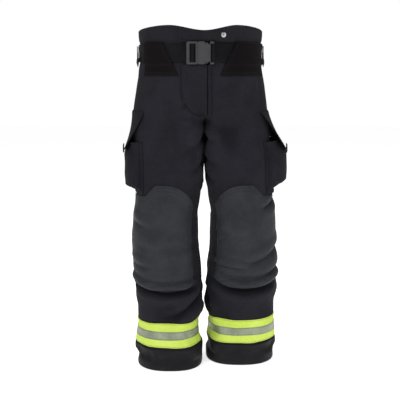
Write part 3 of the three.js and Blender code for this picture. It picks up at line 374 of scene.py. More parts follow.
# Valleys as (way round, height) from end to end, their depth and width.
FOLDS = {
    -1: (
        (((0.006, 781), (0.012, 750), (0.016, 690), (0.012, 590)), 25, 25),
        (((0.1, 705), (0.075, 650), (0.035, 590), (0.02, 560)), 6.5, 10),
        (((0.06, 740), (0.13, 700), (0.2, 678)), 3.5, 12),
        (((0.03, 690), (0.1, 640), (0.17, 612)), 3.2, 12),
        (((0.02, 280), (0.08, 235), (0.17, 195), (0.23, 160)), 5.5, 15),
        (((0.45, 290), (0.36, 262), (0.26, 250), (0.17, 258), (0.1, 270)), 7, 9),
        (((0.42, 478), (0.35, 462), (0.29, 452)), 2.4, 11),
        (((0.1, 388), (0.18, 398), (0.28, 392), (0.38, 405)), 2.2, 13),
        (((0.44, 352), (0.36, 338), (0.3, 334)), 2.2, 11),
        (((0.98, 500), (0.86, 470), (0.72, 462), (0.6, 480)), 6, 14),
        (((0.97, 430), (0.84, 412), (0.7, 420), (0.58, 436)), 5, 13),
        (((0.9, 560), (0.8, 535), (0.66, 540)), 4, 14),
        (((0.99, 690), (0.9, 650), (0.8, 630)), 6, 14),
        (((0.99, 735), (0.9, 705), (0.78, 690)), 5, 14),
        (((0.6, 170), (0.72, 190), (0.86, 180)), 4, 14),
        (((0.62, 270), (0.76, 250), (0.9, 262)), 4, 14),
    ),
    1: (
        (((0.006, 781), (0.008, 750), (0.01, 690), (0.008, 590)), 25, 21),
        (((0.09, 715), (0.075, 660), (0.05, 600), (0.035, 565)), 5.5, 9),
        (((0.05, 735), (0.12, 715), (0.19, 704)), 3, 11),
        (((0.04, 680), (0.11, 652), (0.18, 640)), 3, 11),
        (((0.03, 630), (0.09, 600), (0.15, 590)), 2.6, 10),
        (((0.46, 545), (0.4, 524), (0.33, 505)), 5, 10),
        (((0.47, 400), (0.4, 382), (0.32, 352), (0.25, 335)), 6, 13),
        (((0.09, 335), (0.15, 333), (0.22, 326), (0.28, 320)), 3.4, 7),
        (((0.47, 340), (0.4, 315), (0.33, 300)), 3.4, 11),
        (((0.1, 290), (0.18, 262), (0.26, 250), (0.36, 262), (0.46, 292)), 7, 11),
        (((0.12, 440), (0.2, 430), (0.29, 436)), 1.8, 13),
        (((0.03, 250), (0.07, 200), (0.1, 165)), 4, 13),
        (((0.98, 505), (0.85, 478), (0.72, 470), (0.6, 486)), 6, 14),
        (((0.97, 436), (0.84, 424), (0.7, 420), (0.57, 440)), 5, 13),
        (((0.92, 566), (0.8, 545), (0.66, 548)), 4, 14),
        (((0.99, 694), (0.9, 660), (0.8, 640)), 6, 14),
        (((0.99, 735), (0.9, 712), (0.78, 700)), 5, 14),
        (((0.62, 190), (0.75, 172), (0.88, 186)), 4, 14),
        (((0.6, 275), (0.74, 262), (0.9, 270)), 4, 14),
    ),
}


def settle_cloth(rows=84, columns=41, frames=26):
    """Lets the cloth of the legs and seat settle: it is cut a little larger than its place, so
    it buckles into folds as it hangs from the waist. Gives back how far each point moved."""
    z = np.linspace(0, WAIST_SEAM, rows)
    ways = np.linspace(0, 1, columns)
    around = np.maximum(ways, FIRST_WAY)
    start = np.concatenate([cloth(side * around, z[:, None])[0].reshape(-1, 3) for _, side in SIDES])
    at = np.arange(rows * columns).reshape(rows, columns)
    legs = z < INSEAM - 5
    merged = np.arange(2 * rows * columns)
    merged_right, merged_left = merged[: rows * columns], merged[rows * columns :]
    for i in range(rows):
        if legs[i]:
            merged_right[at[i, -1]] = at[i, 0]
            merged_left[at[i, -1]] = at[i, 0] + rows * columns
        else:
            for j in (0, -1):
                merged_left[at[i, j]] = at[i, j]
    faces = []
    for k in range(2):
        for i in range(rows - 1):
            for j in range(columns - 1):
                ring = [at[i, j], at[i, j + 1], at[i + 1, j + 1], at[i + 1, j]]
                ring = [int(merged[v + k * rows * columns]) for v in ring]
                faces.append(ring if k else ring[::-1])
    used = np.unique(merged)
    new = np.full(len(merged), -1)
    new[used] = np.arange(len(used))
    mesh = bpy.data.meshes.new("settling")
    mesh.from_pydata((start[used] * MM).tolist(), [], [[int(new[v]) for v in f] for f in faces])
    mesh.update()
    thing = bpy.data.objects.new("settling", mesh)
    bpy.context.scene.collection.objects.link(thing)
    held = thing.vertex_groups.new(name="held")
    heights = start[used][:, 2]
    grip = 0.1 + 0.9 * smooth(heights, 850, 940)
    grip = np.maximum(grip, 1 - smooth(heights, 4, 30) * 0.75)
    for v, weight in enumerate(grip):
        held.add([v], float(weight), "REPLACE")
    modifier = thing.modifiers.new("Cloth", "CLOTH")
    s = modifier.settings
    s.quality = 6
    s.mass = 0.6
    s.tension_stiffness = s.compression_stiffness = 25
    s.shear_stiffness = 12
    s.bending_stiffness = 14
    s.air_damping = 4
    s.vertex_group_mass = "held"
    s.pin_stiffness = 0.25
    s.shrink_min = s.shrink_max = -0.035
    s.use_pressure = True
    s.uniform_pressure_force = 0.6
    modifier.collision_settings.use_collision = False
    modifier.point_cache.frame_start = 1
    modifier.point_cache.frame_end = frames
    scene = bpy.context.scene
    for f in range(1, frames + 1):
        scene.frame_set(f)
    seen = thing.evaluated_get(bpy.context.evaluated_depsgraph_get())
    end = np.zeros(len(used) * 3, np.float32)
    seen.data.vertices.foreach_get("co", end)
    scene.frame_set(1)
    bpy.data.objects.remove(thing)
    bpy.data.meshes.remove(mesh)
    moved_used = end.reshape(-1, 3).astype(float) / MM - start[used]
    moved = moved_used[new[merged]].reshape(2, rows, columns, 3)
    return z, ways, moved


def blurred(table, times):
    for _ in range(times):
        rows = table.copy()
        rows[1:-1] = 0.5 * table[1:-1] + 0.25 * (table[2:] + table[:-2])
        table = rows.copy()
        table[:, 1:-1] = 0.5 * rows[:, 1:-1] + 0.25 * (rows[:, 2:] + rows[:, :-2])
    return table


def add_settled(z, ways, moved, most=9.0, strength=1.3):
    """Raises and sinks the shell by the folds that the settling gave, and not by its sag."""
    rows = np.interp(HEIGHTS, z, np.arange(len(z)))
    columns = np.interp(WAYS, ways, np.arange(len(ways)))
    i, j = (np.minimum(x.astype(int), n - 2) for x, n in ((rows, len(z)), (columns, len(ways))))
    a, b = (rows - i)[:, None, None], (columns - j)[None, :, None]
    for k in range(2):
        g = moved[k]
        low = g[i][:, j] * (1 - b) + g[i][:, j + 1] * b
        high = g[i + 1][:, j] * (1 - b) + g[i + 1][:, j + 1] * b
        rise = np.einsum("ijk,ijk->ij", low * (1 - a) + high * a, normals[k])
        rise = blurred(rise, 4)
        rise = (rise - blurred(rise, 160)) * strength
        rise = rise * (most / np.sqrt(most ** 2 + rise ** 2))
        x = np.abs(shell[k, ..., 0])
        height = np.broadcast_to(HEIGHTS[:, None], x.shape)
        quiet = (1 - smooth(height, 860, 915)) * smooth(height, 2, 40)
        by_fly = smooth(height, 740, 775) * (1 - smooth(x, 70, 100)) * (shell[k, ..., 1] < 0)
        rise = rise * quiet * (1 - by_fly) * (1 - 0.6 * under_trim(height))
        crest[k] += rise
        shell[k] += normals[k] * rise[..., None]


def keep_legs_apart():
    """Joins the edges of the cloth again at the centre and inside the legs, without crossing."""
    legs = HEIGHTS < INSEAM
    decay = np.exp(-np.arange(len(WAYS)) / 5.0)
    for edge, order in ((0, 1), (-1, -1)):
        middle = (shell[0, :, edge, 1] + shell[1, :, edge, 1]) / 2
        for k in range(2):
            gap = np.where(legs, 0, middle - shell[k, :, edge, 1])
            shell[k, ..., 1] += gap[:, None] * decay[::order]
    for k, (_, side) in enumerate(SIDES):
        middle = (shell[k, :, 0] + shell[k, :, -1]) / 2
        for edge, order in ((0, 1), (-1, -1)):
            gap = np.where(legs[:, None], middle - shell[k, :, edge], 0)
            shell[k] += gap[:, None] * decay[::order][None, :, None]
        x = shell[k, ..., 0] * side
        x[legs] = np.maximum(x[legs], 0.25)
        x[~legs] = np.maximum(x[~legs], 0)
        for edge in (0, -1):
            x[~legs, edge] = 0
        shell[k, ..., 0] = x * side


FULLER = 13.0  # how much further out the left leg's lower part stands at the outseam
DEEP = 9  # a deeper valley goes straight back and lifts little beside itself
FLAP_EDGE = ((-66, 925), (-66, 885), (-65, 845), (-58, 816), (-42, 797), (-20, 783))  # x and height


def press_folds():
    for _, side in SIDES:
        for path, depth, width in FOLDS[side]:
            middle = sum(z for _, z in path) / len(path)
            share = 0.75 if 300 < middle < 480 else 1.3  # shallower at the knee
            deep = depth > DEEP
            fold_along(side, path, share * depth, width, 0.1 if deep else 0.55, deep)
    # The shell dips beside the free edge of the fly flap.
    fold_along(-1, [(abs(way_at(x, z)), z) for x, z in FLAP_EDGE], 3.2, 5, 0.3)


low_down = (1 - smooth(HEIGHTS, 230, 420))[:, None]
shell[1, ..., 0] += FULLER * low_down * np.sin(WAYS * math.pi) ** 2
press_folds()
normals = outward(shell)
soft_waves()
normals = outward(shell)
add_settled(*settle_cloth())
keep_legs_apart()
normals = outward(shell)

# ---------------------------------------------------------------- materials

WHITE = (1, 1, 1, 1)


def linear(*levels):
    """A colour from its levels on a 0 to 255 screen scale."""
    shares = [v / 255 for v in levels]
    return tuple(v / 12.92 if v <= 0.04045 else ((v + 0.055) / 1.055) ** 2.4 for v in shares) + (1.0,)


class Tree:
    """Adds nodes to a node tree, fed by values or by other nodes."""

    def __init__(self, tree):
        self.tree = tree

    def add(self, kind, feeds=(), **settings):
        node = self.tree.nodes.new(kind)
        for key, value in settings.items():
            setattr(node, key, value)
        for key, value in dict(feeds).items():
            self.feed(node.inputs[key], value)
        return node

    def feed(self, socket, value):
        if isinstance(value, bpy.types.NodeSocket):
            self.tree.links.new(value, socket)
        else:
            socket.default_value = value

    def math(self, operation, a, b=0.0, c=0.0, clamp=False):
        node = self.add("ShaderNodeMath", {0: a, 1: b, 2: c}, operation=operation, use_clamp=clamp)
        return node.outputs[0]

    def times(self, *values):
        made = values[0]
        for value in values[1:]:
            made = self.math("MULTIPLY", made, value)
        return made

    def spread(self, value, low, high, to_low=0.0, to_high=1.0):
        feeds = {"Value": value, "From Min": low, "From Max": high, "To Min": to_low, "To Max": to_high}
        return self.add("ShaderNodeMapRange", feeds).outputs[0]

    def mix(self, share, a, b):
        return self.add("ShaderNodeMix", {0: share, 6: a, 7: b}, data_type="RGBA").outputs[2]

    def scaled(self, vector, by):
        return self.add("ShaderNodeVectorMath", {0: vector, 1: by}, operation="MULTIPLY").outputs[0]

    def axes(self, vector):
        return self.add("ShaderNodeSeparateXYZ", {0: vector}).outputs

    def noise(self, vector, scale, detail=2.0):
        feeds = {"Vector": vector, "Scale": scale, "Detail": detail}
        return self.add("ShaderNodeTexNoise", feeds).outputs[0]


def new_group(name, inputs, outputs):
    group = bpy.data.node_groups.new(name, "ShaderNodeTree")
    for word in inputs:
        kind = "NodeSocketVector" if word == "Place" else "NodeSocketFloat"
        group.interface.new_socket(word, in_out="INPUT", socket_type=kind)
    for word in outputs:
        group.interface.new_socket(word, in_out="OUTPUT", socket_type="NodeSocketFloat")
    t = Tree(group)
    return group, t, t.add("NodeGroupInput").outputs, t.add("NodeGroupOutput").inputs


def weave_group():
    """Threads crossing over and under one another."""
    group, t, given, gives = new_group("crossing threads", ("Place", "Pitch"), ("Height",))
    axes = t.axes(given["Place"])
    turns = [t.times(t.math("DIVIDE", axes[k], given["Pitch"]), math.pi) for k in (0, 1)]
    waves = [t.math("SINE", turn) for turn in turns]
    over = t.math("GREATER_THAN", t.times(*waves), 0.0)
    a, b = (t.math("ABSOLUTE", wave) for wave in waves)
    under = t.math("SUBTRACT", 1.0, over)
    t.feed(gives["Height"], t.math("ADD", t.times(a, over), t.times(b, under)))
    return group


def twill_group():
    """Diagonal ribs with threads across them."""
    group, t, given, gives = new_group("diagonal ribs", ("Place", "Pitch"), ("Height",))
    axes = t.axes(given["Place"])
    slant = t.math("DIVIDE", t.math("ADD", axes[0], axes[1]), given["Pitch"])
    across = t.math("DIVIDE", axes[1], given["Pitch"])
    rib, cross = (t.math("ABSOLUTE", t.math("SINE", t.times(value, turn)))
                  for value, turn in ((slant, math.pi), (across, 2 * math.pi)))
    t.feed(gives["Height"], t.times(rib, t.math("MULTIPLY_ADD", cross, 0.3, 0.7)))
    return group


def grid_group():
    """Heavier threads in a square grid."""
    group, t, given, gives = new_group("heavier threads", ("Place", "Spacing", "Width"), ("Mask",))
    axes = t.axes(given["Place"])
    half = t.times(given["Spacing"], 0.5)
    away = [t.math("DIVIDE", t.math("PINGPONG", axes[k], half), given["Width"]) for k in (0, 1)]
    t.feed(gives["Mask"], t.math("MAXIMUM", *(t.math("SUBTRACT", 1.0, w, clamp=True) for w in away)))
    return group


def tone_group():
    """Slow and quick changes of tone over a surface, about 0.5."""
    group, t, given, gives = new_group("uneven tone", ("Place", "Size"), ("Tone",))
    scale = t.math("DIVIDE", 1.0, given["Size"])
    slow = t.noise(given["Place"], scale, 3.0)
    quick = t.noise(given["Place"], t.times(scale, 9.0), 2.0)
    t.feed(gives["Tone"], t.math("ADD", t.times(slow, 0.7), t.times(quick, 0.3)))
    return group


def grain_group():
    """Pebbled grain of a coated hide."""
    group, t, given, gives = new_group("pebbled grain", ("Place", "Size"), ("Height",))
    scale = t.math("DIVIDE", 1.0, given["Size"])
    cells = t.add("ShaderNodeTexVoronoi", {"Vector": given["Place"], "Scale": scale}).outputs[0]
    fine = t.noise(given["Place"], t.times(scale, 3.0), 2.0)
    t.feed(gives["Height"], t.math("ADD", t.spread(cells, 0.1, 0.6), t.times(fine, 0.4)))
    return group


def scratch_group():
    """Fine scratches all one way, with rubbed patches."""
    group, t, given, gives = new_group("fine scratches", ("Place",), ("Scratch", "Rub"))
    long = t.scaled(given["Place"], (60.0, 900.0, 2400.0))
    t.feed(gives["Scratch"], t.spread(t.noise(long, 1.0, 3.0), 0.45, 0.62))
    t.feed(gives["Rub"], t.spread(t.noise(given["Place"], 190.0, 4.0), 0.4, 0.7))
    return group


GROUPS = {}


def use_group(t, make, **feeds):
    if make.__name__ not in GROUPS:
        GROUPS[make.__name__] = make()
    node = t.add("ShaderNodeGroup", node_tree=GROUPS[make.__name__])
    for key, value in feeds.items():
        t.feed(node.inputs[key], value)
    return node.outputs


def start_material(name, flat_cloth=True):
    material = bpy.data.materials.new(name)
    material.use_nodes = True
    material.node_tree.nodes.clear()
    t = Tree(material.node_tree)
    shader = t.add("ShaderNodeBsdfPrincipled")
    out = t.add("ShaderNodeOutputMaterial")
    t.tree.links.new(shader.outputs[0], out.inputs[0])
    solid = t.add("ShaderNodeTexCoord").outputs["Object"]
    place = t.add("ShaderNodeUVMap", uv_map="Cloth").outputs[0] if flat_cloth else solid
    return material, t, shader, place, solid


def constants(shader, **values):
    """Sets a shader's own values, by the names of its sockets with _ for a space."""
    for name, value in values.items():
        shader.inputs[name.replace("_", " ")].default_value = value


def bump(t, shader, height, depth, strength=1.0):
    node = t.add("ShaderNodeBump", {"Strength": strength, "Distance": depth, "Height": height})
    t.feed(shader.inputs["Normal"], node.outputs[0])


def cloth_material(name, colour, paler_colour, pitch, rough=0.85, sheen=0.02, rip=0.0, twill=False,
                   depth=0.00012, flat_cloth=True, paint_fold_light=False, wave_size=0.09):
    """Woven cloth: threads, uneven tone and paler wear, and on the shell a painted highlight on fold crests
    and painted shade in deep folds.
    """
    material, t, shader, place, solid = start_material(name, flat_cloth)
    make = twill_group if twill else weave_group
    thread = use_group(t, make, Place=place, Pitch=pitch)["Height"]
    tone = use_group(t, tone_group, Place=solid, Size=wave_size)["Tone"]
    share = t.spread(tone, 0.36, 0.66)
    height = thread
    if rip:
        lines = use_group(t, grid_group, Place=place, Spacing=rip, Width=pitch * 1.3)["Mask"]
        height = t.math("MULTIPLY_ADD", lines, 1.2, thread)
        share = t.math("MULTIPLY_ADD", lines, 0.25, share, clamp=True)
    if paint_fold_light:
        stands = t.add("ShaderNodeAttribute", attribute_name="crest").outputs["Fac"]
        # Painted highlight: the cloth is painted paler where a fold stands up, so that the folds show.
        share = t.math("MULTIPLY_ADD", t.spread(stands, 0.8, 4.5), 0.6, share, clamp=True)
        # Painted shade: deep folds, such as the groove between the legs, are painted near black for the
        # shade that falls in them.
        deep = t.spread(stands, -15.0, -3.0)
        colour = t.mix(deep, linear(3, 3, 7), colour)
        paler_colour = t.mix(deep, linear(5, 5, 9), paler_colour)
    share = t.times(share, t.spread(thread, 0.0, 1.0, 0.4, 1.0))
    t.feed(shader.inputs["Base Color"], t.mix(share, colour, paler_colour))
    t.feed(shader.inputs["Roughness"], t.spread(tone, 0.3, 0.7, rough - 0.07, rough + 0.07))
    constants(shader, Sheen_Weight=sheen, Sheen_Roughness=0.5, Specular_IOR_Level=0.06)
    bump(t, shader, height, depth)
    return material


def coated_material(name, colour, paler_colour, rough=0.6, grain=0.0016):
    """Cloth or hide with a pebbled coating, rubbed paler where it stands up."""
    material, t, shader, _, solid = start_material(name)
    grains = use_group(t, grain_group, Place=solid, Size=grain)["Height"]
    tone = use_group(t, tone_group, Place=solid, Size=0.05)["Tone"]
    share = t.times(t.spread(tone, 0.38, 0.64), t.spread(grains, 0.0, 1.2, 0.4, 1.0))
    t.feed(shader.inputs["Base Color"], t.mix(share, colour, paler_colour))
    t.feed(shader.inputs["Roughness"], t.spread(tone, 0.3, 0.7, rough - 0.09, rough + 0.08))
    constants(shader, Specular_IOR_Level=0.12, Sheen_Weight=0.02)
    bump(t, shader, grains, 0.00016, 0.7)
    return material


def hard_material(name, colour, rubbed, metallic, rough):
    """Moulded plastic or metal: fine scratches, a rubbed sheen and paler edges."""
    material, t, shader, _, solid = start_material(name, False)
    marks = use_group(t, scratch_group, Place=solid)
    grain = use_group(t, grain_group, Place=solid, Size=0.0005)["Height"]
    edges = t.spread(t.add("ShaderNodeNewGeometry").outputs["Pointiness"], 0.5, 0.56)
    rubs = t.times(marks["Scratch"], marks["Rub"], 0.35)
    share = t.math("MAXIMUM", t.times(edges, 0.4), rubs, clamp=True)
    t.feed(shader.inputs["Base Color"], t.mix(share, colour, rubbed))
    constants(shader, Metallic=metallic)
    t.feed(shader.inputs["Roughness"], t.spread(marks["Rub"], 0.0, 1.0, rough + 0.06, rough - 0.08))
    bump(t, shader, t.math("MULTIPLY_ADD", marks["Scratch"], -0.4, grain), 0.00003, 0.6)
    return material


def glass_bead_material():
    """Silver tape faced with glass beads, in a fine grid of raised dots."""
    material, t, shader, place, solid = start_material("silver tape")
    axes = t.axes(place)
    pitch = 0.0044
    waves = [t.math("SINE", t.times(axes[k], 2 * math.pi / pitch)) for k in (0, 1)]
    dots = t.spread(t.times(*waves), 0.1, 0.5)
    tone = use_group(t, tone_group, Place=solid, Size=0.03)["Tone"]
    beads = t.noise(place, 2600.0, 1.0)
    pale = t.mix(t.spread(tone, 0.35, 0.65), linear(126, 130, 120), linear(158, 163, 150))
    t.feed(shader.inputs["Base Color"], t.mix(t.times(dots, 0.8), pale, linear(122, 140, 62)))
    constants(shader, Metallic=0.35)
    t.feed(shader.inputs["Roughness"], t.spread(beads, 0.3, 0.7, 0.34, 0.52))
    bump(t, shader, t.math("MULTIPLY_ADD", dots, -1.0, t.times(beads, 0.3)), 0.00015)
    return material


def hook_material(name, colour, paler_colour, size):
    """Hooks or loops of a touch fastener."""
    material, t, shader, place, _ = start_material(name)
    nap = t.add("ShaderNodeTexVoronoi", {"Vector": place, "Scale": 1 / size}).outputs[0]
    t.feed(shader.inputs["Base Color"], t.mix(t.spread(nap, 0.15, 0.6), paler_colour, colour))
    constants(shader, Roughness=0.9, Sheen_Weight=0.1, Specular_IOR_Level=0.1)
    bump(t, shader, nap, 0.0008)
    return material


MATERIALS = {
    # The shell's cloth gets painted light: paler on fold crests, near black in deep folds.
    "shell": cloth_material("outer shell ripstop", linear(26, 25, 30), linear(37, 36, 42), 0.0006,
                            rip=0.0055, paint_fold_light=True),
    "flap": cloth_material("doubled shell cloth", linear(25, 24, 29), linear(36, 35, 40), 0.0006,
                           rip=0.0055),
    "tunnel": cloth_material("brown-black twill", linear(11, 8, 10), linear(21, 16, 18), 0.0009, twill=True),
    "leather": coated_material("coated knee hide", linear(36, 37, 41), linear(48, 49, 53)),
    "cuff": coated_material("coated cuff hide", linear(20, 19, 22), linear(32, 31, 34)),
    "barrier": coated_material("moisture barrier film", linear(150, 144, 120), linear(178, 172, 150),
                               0.4, 0.003),
    "quilt": cloth_material("quilted face cloth", linear(44, 46, 52), linear(64, 66, 72), 0.0005, rough=0.8),
    "webbing": cloth_material("belt webbing", linear(12, 12, 14), linear(27, 27, 30), 0.0017, rough=0.7,
                              depth=0.0003),
    "thread": cloth_material("sewing thread", linear(27, 26, 32), linear(44, 43, 48), 0.0004,
                             flat_cloth=False, depth=0.00005),
    "plastic": hard_material("moulded buckle plastic", linear(29, 28, 31), linear(62, 61, 64), 0.0, 0.42),
    "brass": hard_material("zip brass", linear(120, 98, 58), linear(190, 165, 112), 1.0, 0.36),
    "steel": hard_material("nickel-plated steel", linear(150, 149, 146), linear(214, 213, 210), 1.0, 0.28),
    "lime": cloth_material("lime fluorescent tape", linear(190, 214, 84), linear(208, 230, 108), 0.0007,
                           sheen=0.0, rough=0.6),
    "silver": glass_bead_material(),
    "foam": cloth_material("knee padding", linear(70, 70, 74), linear(96, 96, 100), 0.003, flat_cloth=False),
    "hook": hook_material("hook strip", linear(16, 16, 18), linear(34, 34, 38), 0.0011),
    "loop": hook_material("loop strip", linear(22, 22, 25), linear(48, 48, 52), 0.0017),
}

# ---------------------------------------------------------------- making pieces

CORNERS = ((0, 0), (1, 0), (1, 1), (0, 1))


def make_mesh(name, points, faces, uv, raised=None):
    mesh = bpy.data.meshes.new(name)
    mesh.vertices.add(len(points))
    mesh.vertices.foreach_set("co", ((points + CENTRE) * MM).astype(np.float32).ravel())
    mesh.loops.add(faces.size)
    mesh.loops.foreach_set("vertex_index", faces.astype(np.int32).ravel())
    mesh.polygons.add(len(faces))
    mesh.polygons.foreach_set("loop_start", np.arange(0, faces.size, 4, dtype=np.int32))
    mesh.update(calc_edges=True)
    mesh.polygons.foreach_set("use_smooth", np.ones(len(faces), bool))
    mesh.uv_layers.new(name="Cloth").data.foreach_set("uv", (uv * MM).astype(np.float32).ravel())
    if raised is not None:
        attribute = mesh.attributes.new("crest", "FLOAT", "POINT")
        attribute.data.foreach_set("value", raised.astype(np.float32))
    thing = bpy.data.objects.new(name, mesh)
    bpy.context.scene.collection.objects.link(thing)
    return thing


def carry(thing, body, between):
    """Rides a piece on a body. Given a span between two, as (other body, start and end height), it only
    bakes the piece's place into its mesh.
    """
    if between:
        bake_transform(thing)
    else:
        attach(thing, body)


def slab(name, outer, inner, kind, body="pants", slot=None, wrap=False, edge=0.4, raised=None,
         replaces=(), held=None, rests=(), between=None):
    """A piece of cloth with rounded edges between two faces given as rows of points. With wrap
    it closes on itself."""
    rows, columns = outer.shape[:2]
    count = rows * columns
    at = np.arange(count).reshape(rows, columns)
    ahead = np.roll(at, -1, 1) if wrap else at[:, 1:]
    now = at if wrap else at[:, :-1]
    quads = np.stack([now[:-1], ahead[:-1], ahead[1:], now[1:]], axis=2).reshape(-1, 4)
    steps = np.linalg.norm(np.diff(outer, axis=1, append=outer[:, :1]), axis=2)
    rises = np.linalg.norm(np.diff(outer, axis=0), axis=2)
    u = np.concatenate([[0], np.cumsum(steps.mean(axis=0))])
    v = np.concatenate([[0], np.cumsum(rises.mean(axis=1))])
    ui, vi = np.meshgrid(np.arange(now.shape[1]), np.arange(rows - 1))
    corners = [np.stack([u[ui + a], v[vi + b]], axis=2) for a, b in CORNERS]
    uv_quads = np.stack(corners, axis=2).reshape(-1, 4, 2)
    if wrap:
        rims = [(at[0], at[1]), (at[-1][::-1], at[-2][::-1])]
    else:
        ring = np.concatenate([at[0, :-1], at[:-1, -1], at[-1, :0:-1], at[:0:-1, 0]])
        row, column = np.divmod(ring, columns)
        rims = [(ring, at[np.clip(row, 1, rows - 2), np.clip(column, 1, columns - 2)])]
    flat_outer, flat_inner = outer.reshape(-1, 3), inner.reshape(-1, 3)
    points = [flat_outer, flat_inner]
    faces = [quads, quads[:, ::-1] + count]
    uvs = [uv_quads, uv_quads[:, ::-1]]
    made = 2 * count
    grid_uv = np.stack(np.meshgrid(u[:columns], v), axis=2).reshape(-1, 2)
    for ring, inside in rims:
        away = flat_outer[ring] - flat_outer[inside]
        away = away / np.maximum(np.linalg.norm(away, axis=1, keepdims=True), 1e-6)
        thick = np.linalg.norm(flat_outer[ring] - flat_inner[ring], axis=1, keepdims=True)
        points.append((flat_outer[ring] + flat_inner[ring]) / 2 + away * thick * edge)
        k = np.arange(len(ring))
        n = np.roll(k, -1)
        faces.append(np.stack([ring[n], ring[k], made + k, made + n], axis=1))
        faces.append(np.stack([made + n, made + k, ring[k] + count, ring[n] + count], axis=1))
        here, there = grid_uv[ring[k]], grid_uv[ring[n]]
        uvs += [np.stack([there, here, here - [0, 1], there - [0, 1]], axis=1)] * 2
        made += len(ring)
    points, faces, uvs = np.concatenate(points), np.concatenate(faces), np.concatenate(uvs)
    middle = quads[len(quads) // 2 + (now.shape[1] // 2 if rows > 2 else 0)]
    corner = flat_outer[middle]
    through = corner.mean(0) - flat_inner[middle].mean(0)
    if np.cross(corner[2] - corner[0], corner[3] - corner[1]) @ through < 0:
        faces, uvs = faces[:, ::-1], uvs[:, ::-1]
    if raised is not None:
        raised = np.concatenate([raised.ravel(), raised.ravel(), np.zeros(len(points) - 2 * count)])
    thing = make_mesh(name, points, faces, uvs, raised)
    thing.data.materials.append(MATERIALS[kind])
    carry(thing, body, between)
    if replaces:
        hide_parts(replaces)
    return thing


def grid(ways, heights):
    """Every way at every height, as two tables."""
    return np.broadcast_arrays(np.asarray(ways, float), np.asarray(heights, float).reshape(-1, 1))


def layer(name, ways, heights, low, high, kind, **more):
    """A piece that follows the shell, from `low` to `high` off it."""
    outer, _ = cloth(ways, heights, high)
    inner, _ = cloth(ways, heights, low)
    return slab(name, outer, inner, kind, **more)


GIRTH_Z = np.linspace(0, OUTSEAM, 60)
GIRTHS = {side: np.array([girth(side, z) for z in GIRTH_Z]) for _, side in SIDES}


def share_of(length, side, z):
    """How much of the way round a side a length takes up."""
    return length / np.interp(z, GIRTH_Z, GIRTHS[side])


def way_behind(x, z):
    """The way round at which the shell's back stands at x, negative on the right."""
    k = 0 if x < 0 else 1
    row = int(np.searchsorted(HEIGHTS, z))
    half = len(WAYS) // 2
    reached = np.maximum.accumulate(np.abs(shell[k, row, ::-1][: half + 1, 0]))
    return math.copysign(1 - float(np.interp(abs(x), reached, WAYS[: half + 1])), x)


def beside(side, ways, heights, aside):
    """A path of ways and heights moved sideways by a length over the cloth."""
    ways, heights = np.asarray(ways, float), np.asarray(heights, float)
    per = 1 / share_of(1, side, heights)
    run, rise = np.gradient(ways) * per, np.gradient(heights)
    size = np.maximum(np.hypot(run, rise), 1e-9)
    return ways - rise / size * aside / per, heights + run / size * aside


def ribbon(name, side, ways, heights, width, low, high, kind, **more):
    """A narrow strip along a path, a little crowned."""
    across = np.array([-1, -0.8, -0.3, 0.3, 0.8, 1])
    made = [beside(side, ways, heights, a * width / 2) for a in across]
    w, z = (np.stack([m[k] for m in made], axis=1) for k in (0, 1))
    crown = high - 0.3 * np.abs(across) ** 3
    return layer(name, w, z, low, np.broadcast_to(crown, w.shape), kind, **more)


STITCHES = {}  # name of the piece of stitching: its lines, each as points and normals


def stitch(group, points, normal):
    STITCHES.setdefault(group, []).append((points, normal))


def stitch_on(group, w, z, out, *picks):
    """Stitches along chosen rows and columns of a piece."""
    for pick in picks:
        stitch(group, *cloth(w[pick], z[pick], out[pick]))


def stitch_round(turn, out, *heights):
    for height in heights:
        stitch("stitching_trim", *cloth(turn, height, out))


# One stitch: along, half width and height of each ring of its body, and each ring's corners.
STITCH_RINGS = ((-0.5, 0.3, 0.0), (-0.28, 1.0, 0.85), (0.28, 1.0, 0.85), (0.5, 0.3, 0.0))
STITCH_RING = ((-1, 0), (0, 1), (1, 0), (0, -0.4))
STITCH_PITCH, STITCH_LONG, STITCH_WIDE, STITCH_SUNK = 3.6, 2.7, 0.5, 0.15


def sew(group, body="pants", between=None):
    """Makes a group's stitches: a small rounded body for each."""
    middles, alongs, ups = [], [], []
    for points, normal in STITCHES[group]:
        reach = np.concatenate([[0], np.cumsum(np.linalg.norm(np.diff(points, axis=0), axis=1))])
        count = int(reach[-1] / STITCH_PITCH)
        if count < 1:
            continue

        def find(table, where, reach=reach):
            return np.stack([np.interp(where, reach, table[:, axis]) for axis in range(3)], axis=1)

        at = (np.arange(count) + 0.5) * reach[-1] / count
        middles.append(find(points, at))
        alongs.append(find(points, np.minimum(at + 0.8, reach[-1])) - find(points, np.maximum(at - 0.8, 0)))
        ups.append(find(normal, at))
    middle, along, up = (np.concatenate(x) for x in (middles, alongs, ups))
    along /= np.linalg.norm(along, axis=1, keepdims=True)
    up -= np.einsum("ij,ij->i", up, along)[:, None] * along
    up /= np.linalg.norm(up, axis=1, keepdims=True)
    over = np.cross(up, along)
    shape = np.array([
        (s * STITCH_LONG, x * w * STITCH_WIDE, h * STITCH_WIDE * y - (STITCH_SUNK if y < 0 else 0))
        for s, w, h in STITCH_RINGS for x, y in STITCH_RING
    ])
    points = (middle[:, None] + shape[None, :, :1] * along[:, None] + shape[None, :, 1:2] * over[:, None]
              + shape[None, :, 2:] * up[:, None])
    faces = [[r * 4 + c, r * 4 + (c + 1) % 4, r * 4 + 4 + (c + 1) % 4, r * 4 + 4 + c]
             for r in range(3) for c in range(4)] + [[3, 2, 1, 0], [12, 13, 14, 15]]
    faces = (np.array(faces)[None] + 16 * np.arange(len(middle))[:, None, None]).reshape(-1, 4)
    uv = np.tile(np.array(CORNERS, float), (len(faces), 1, 1))
    thing = make_mesh(group, points.reshape(-1, 3), faces, uv)
    thing.data.materials.append(MATERIALS["thread"])
    carry(thing, body, between)


# ---------------------------------------------------------------- shell, seams and liners

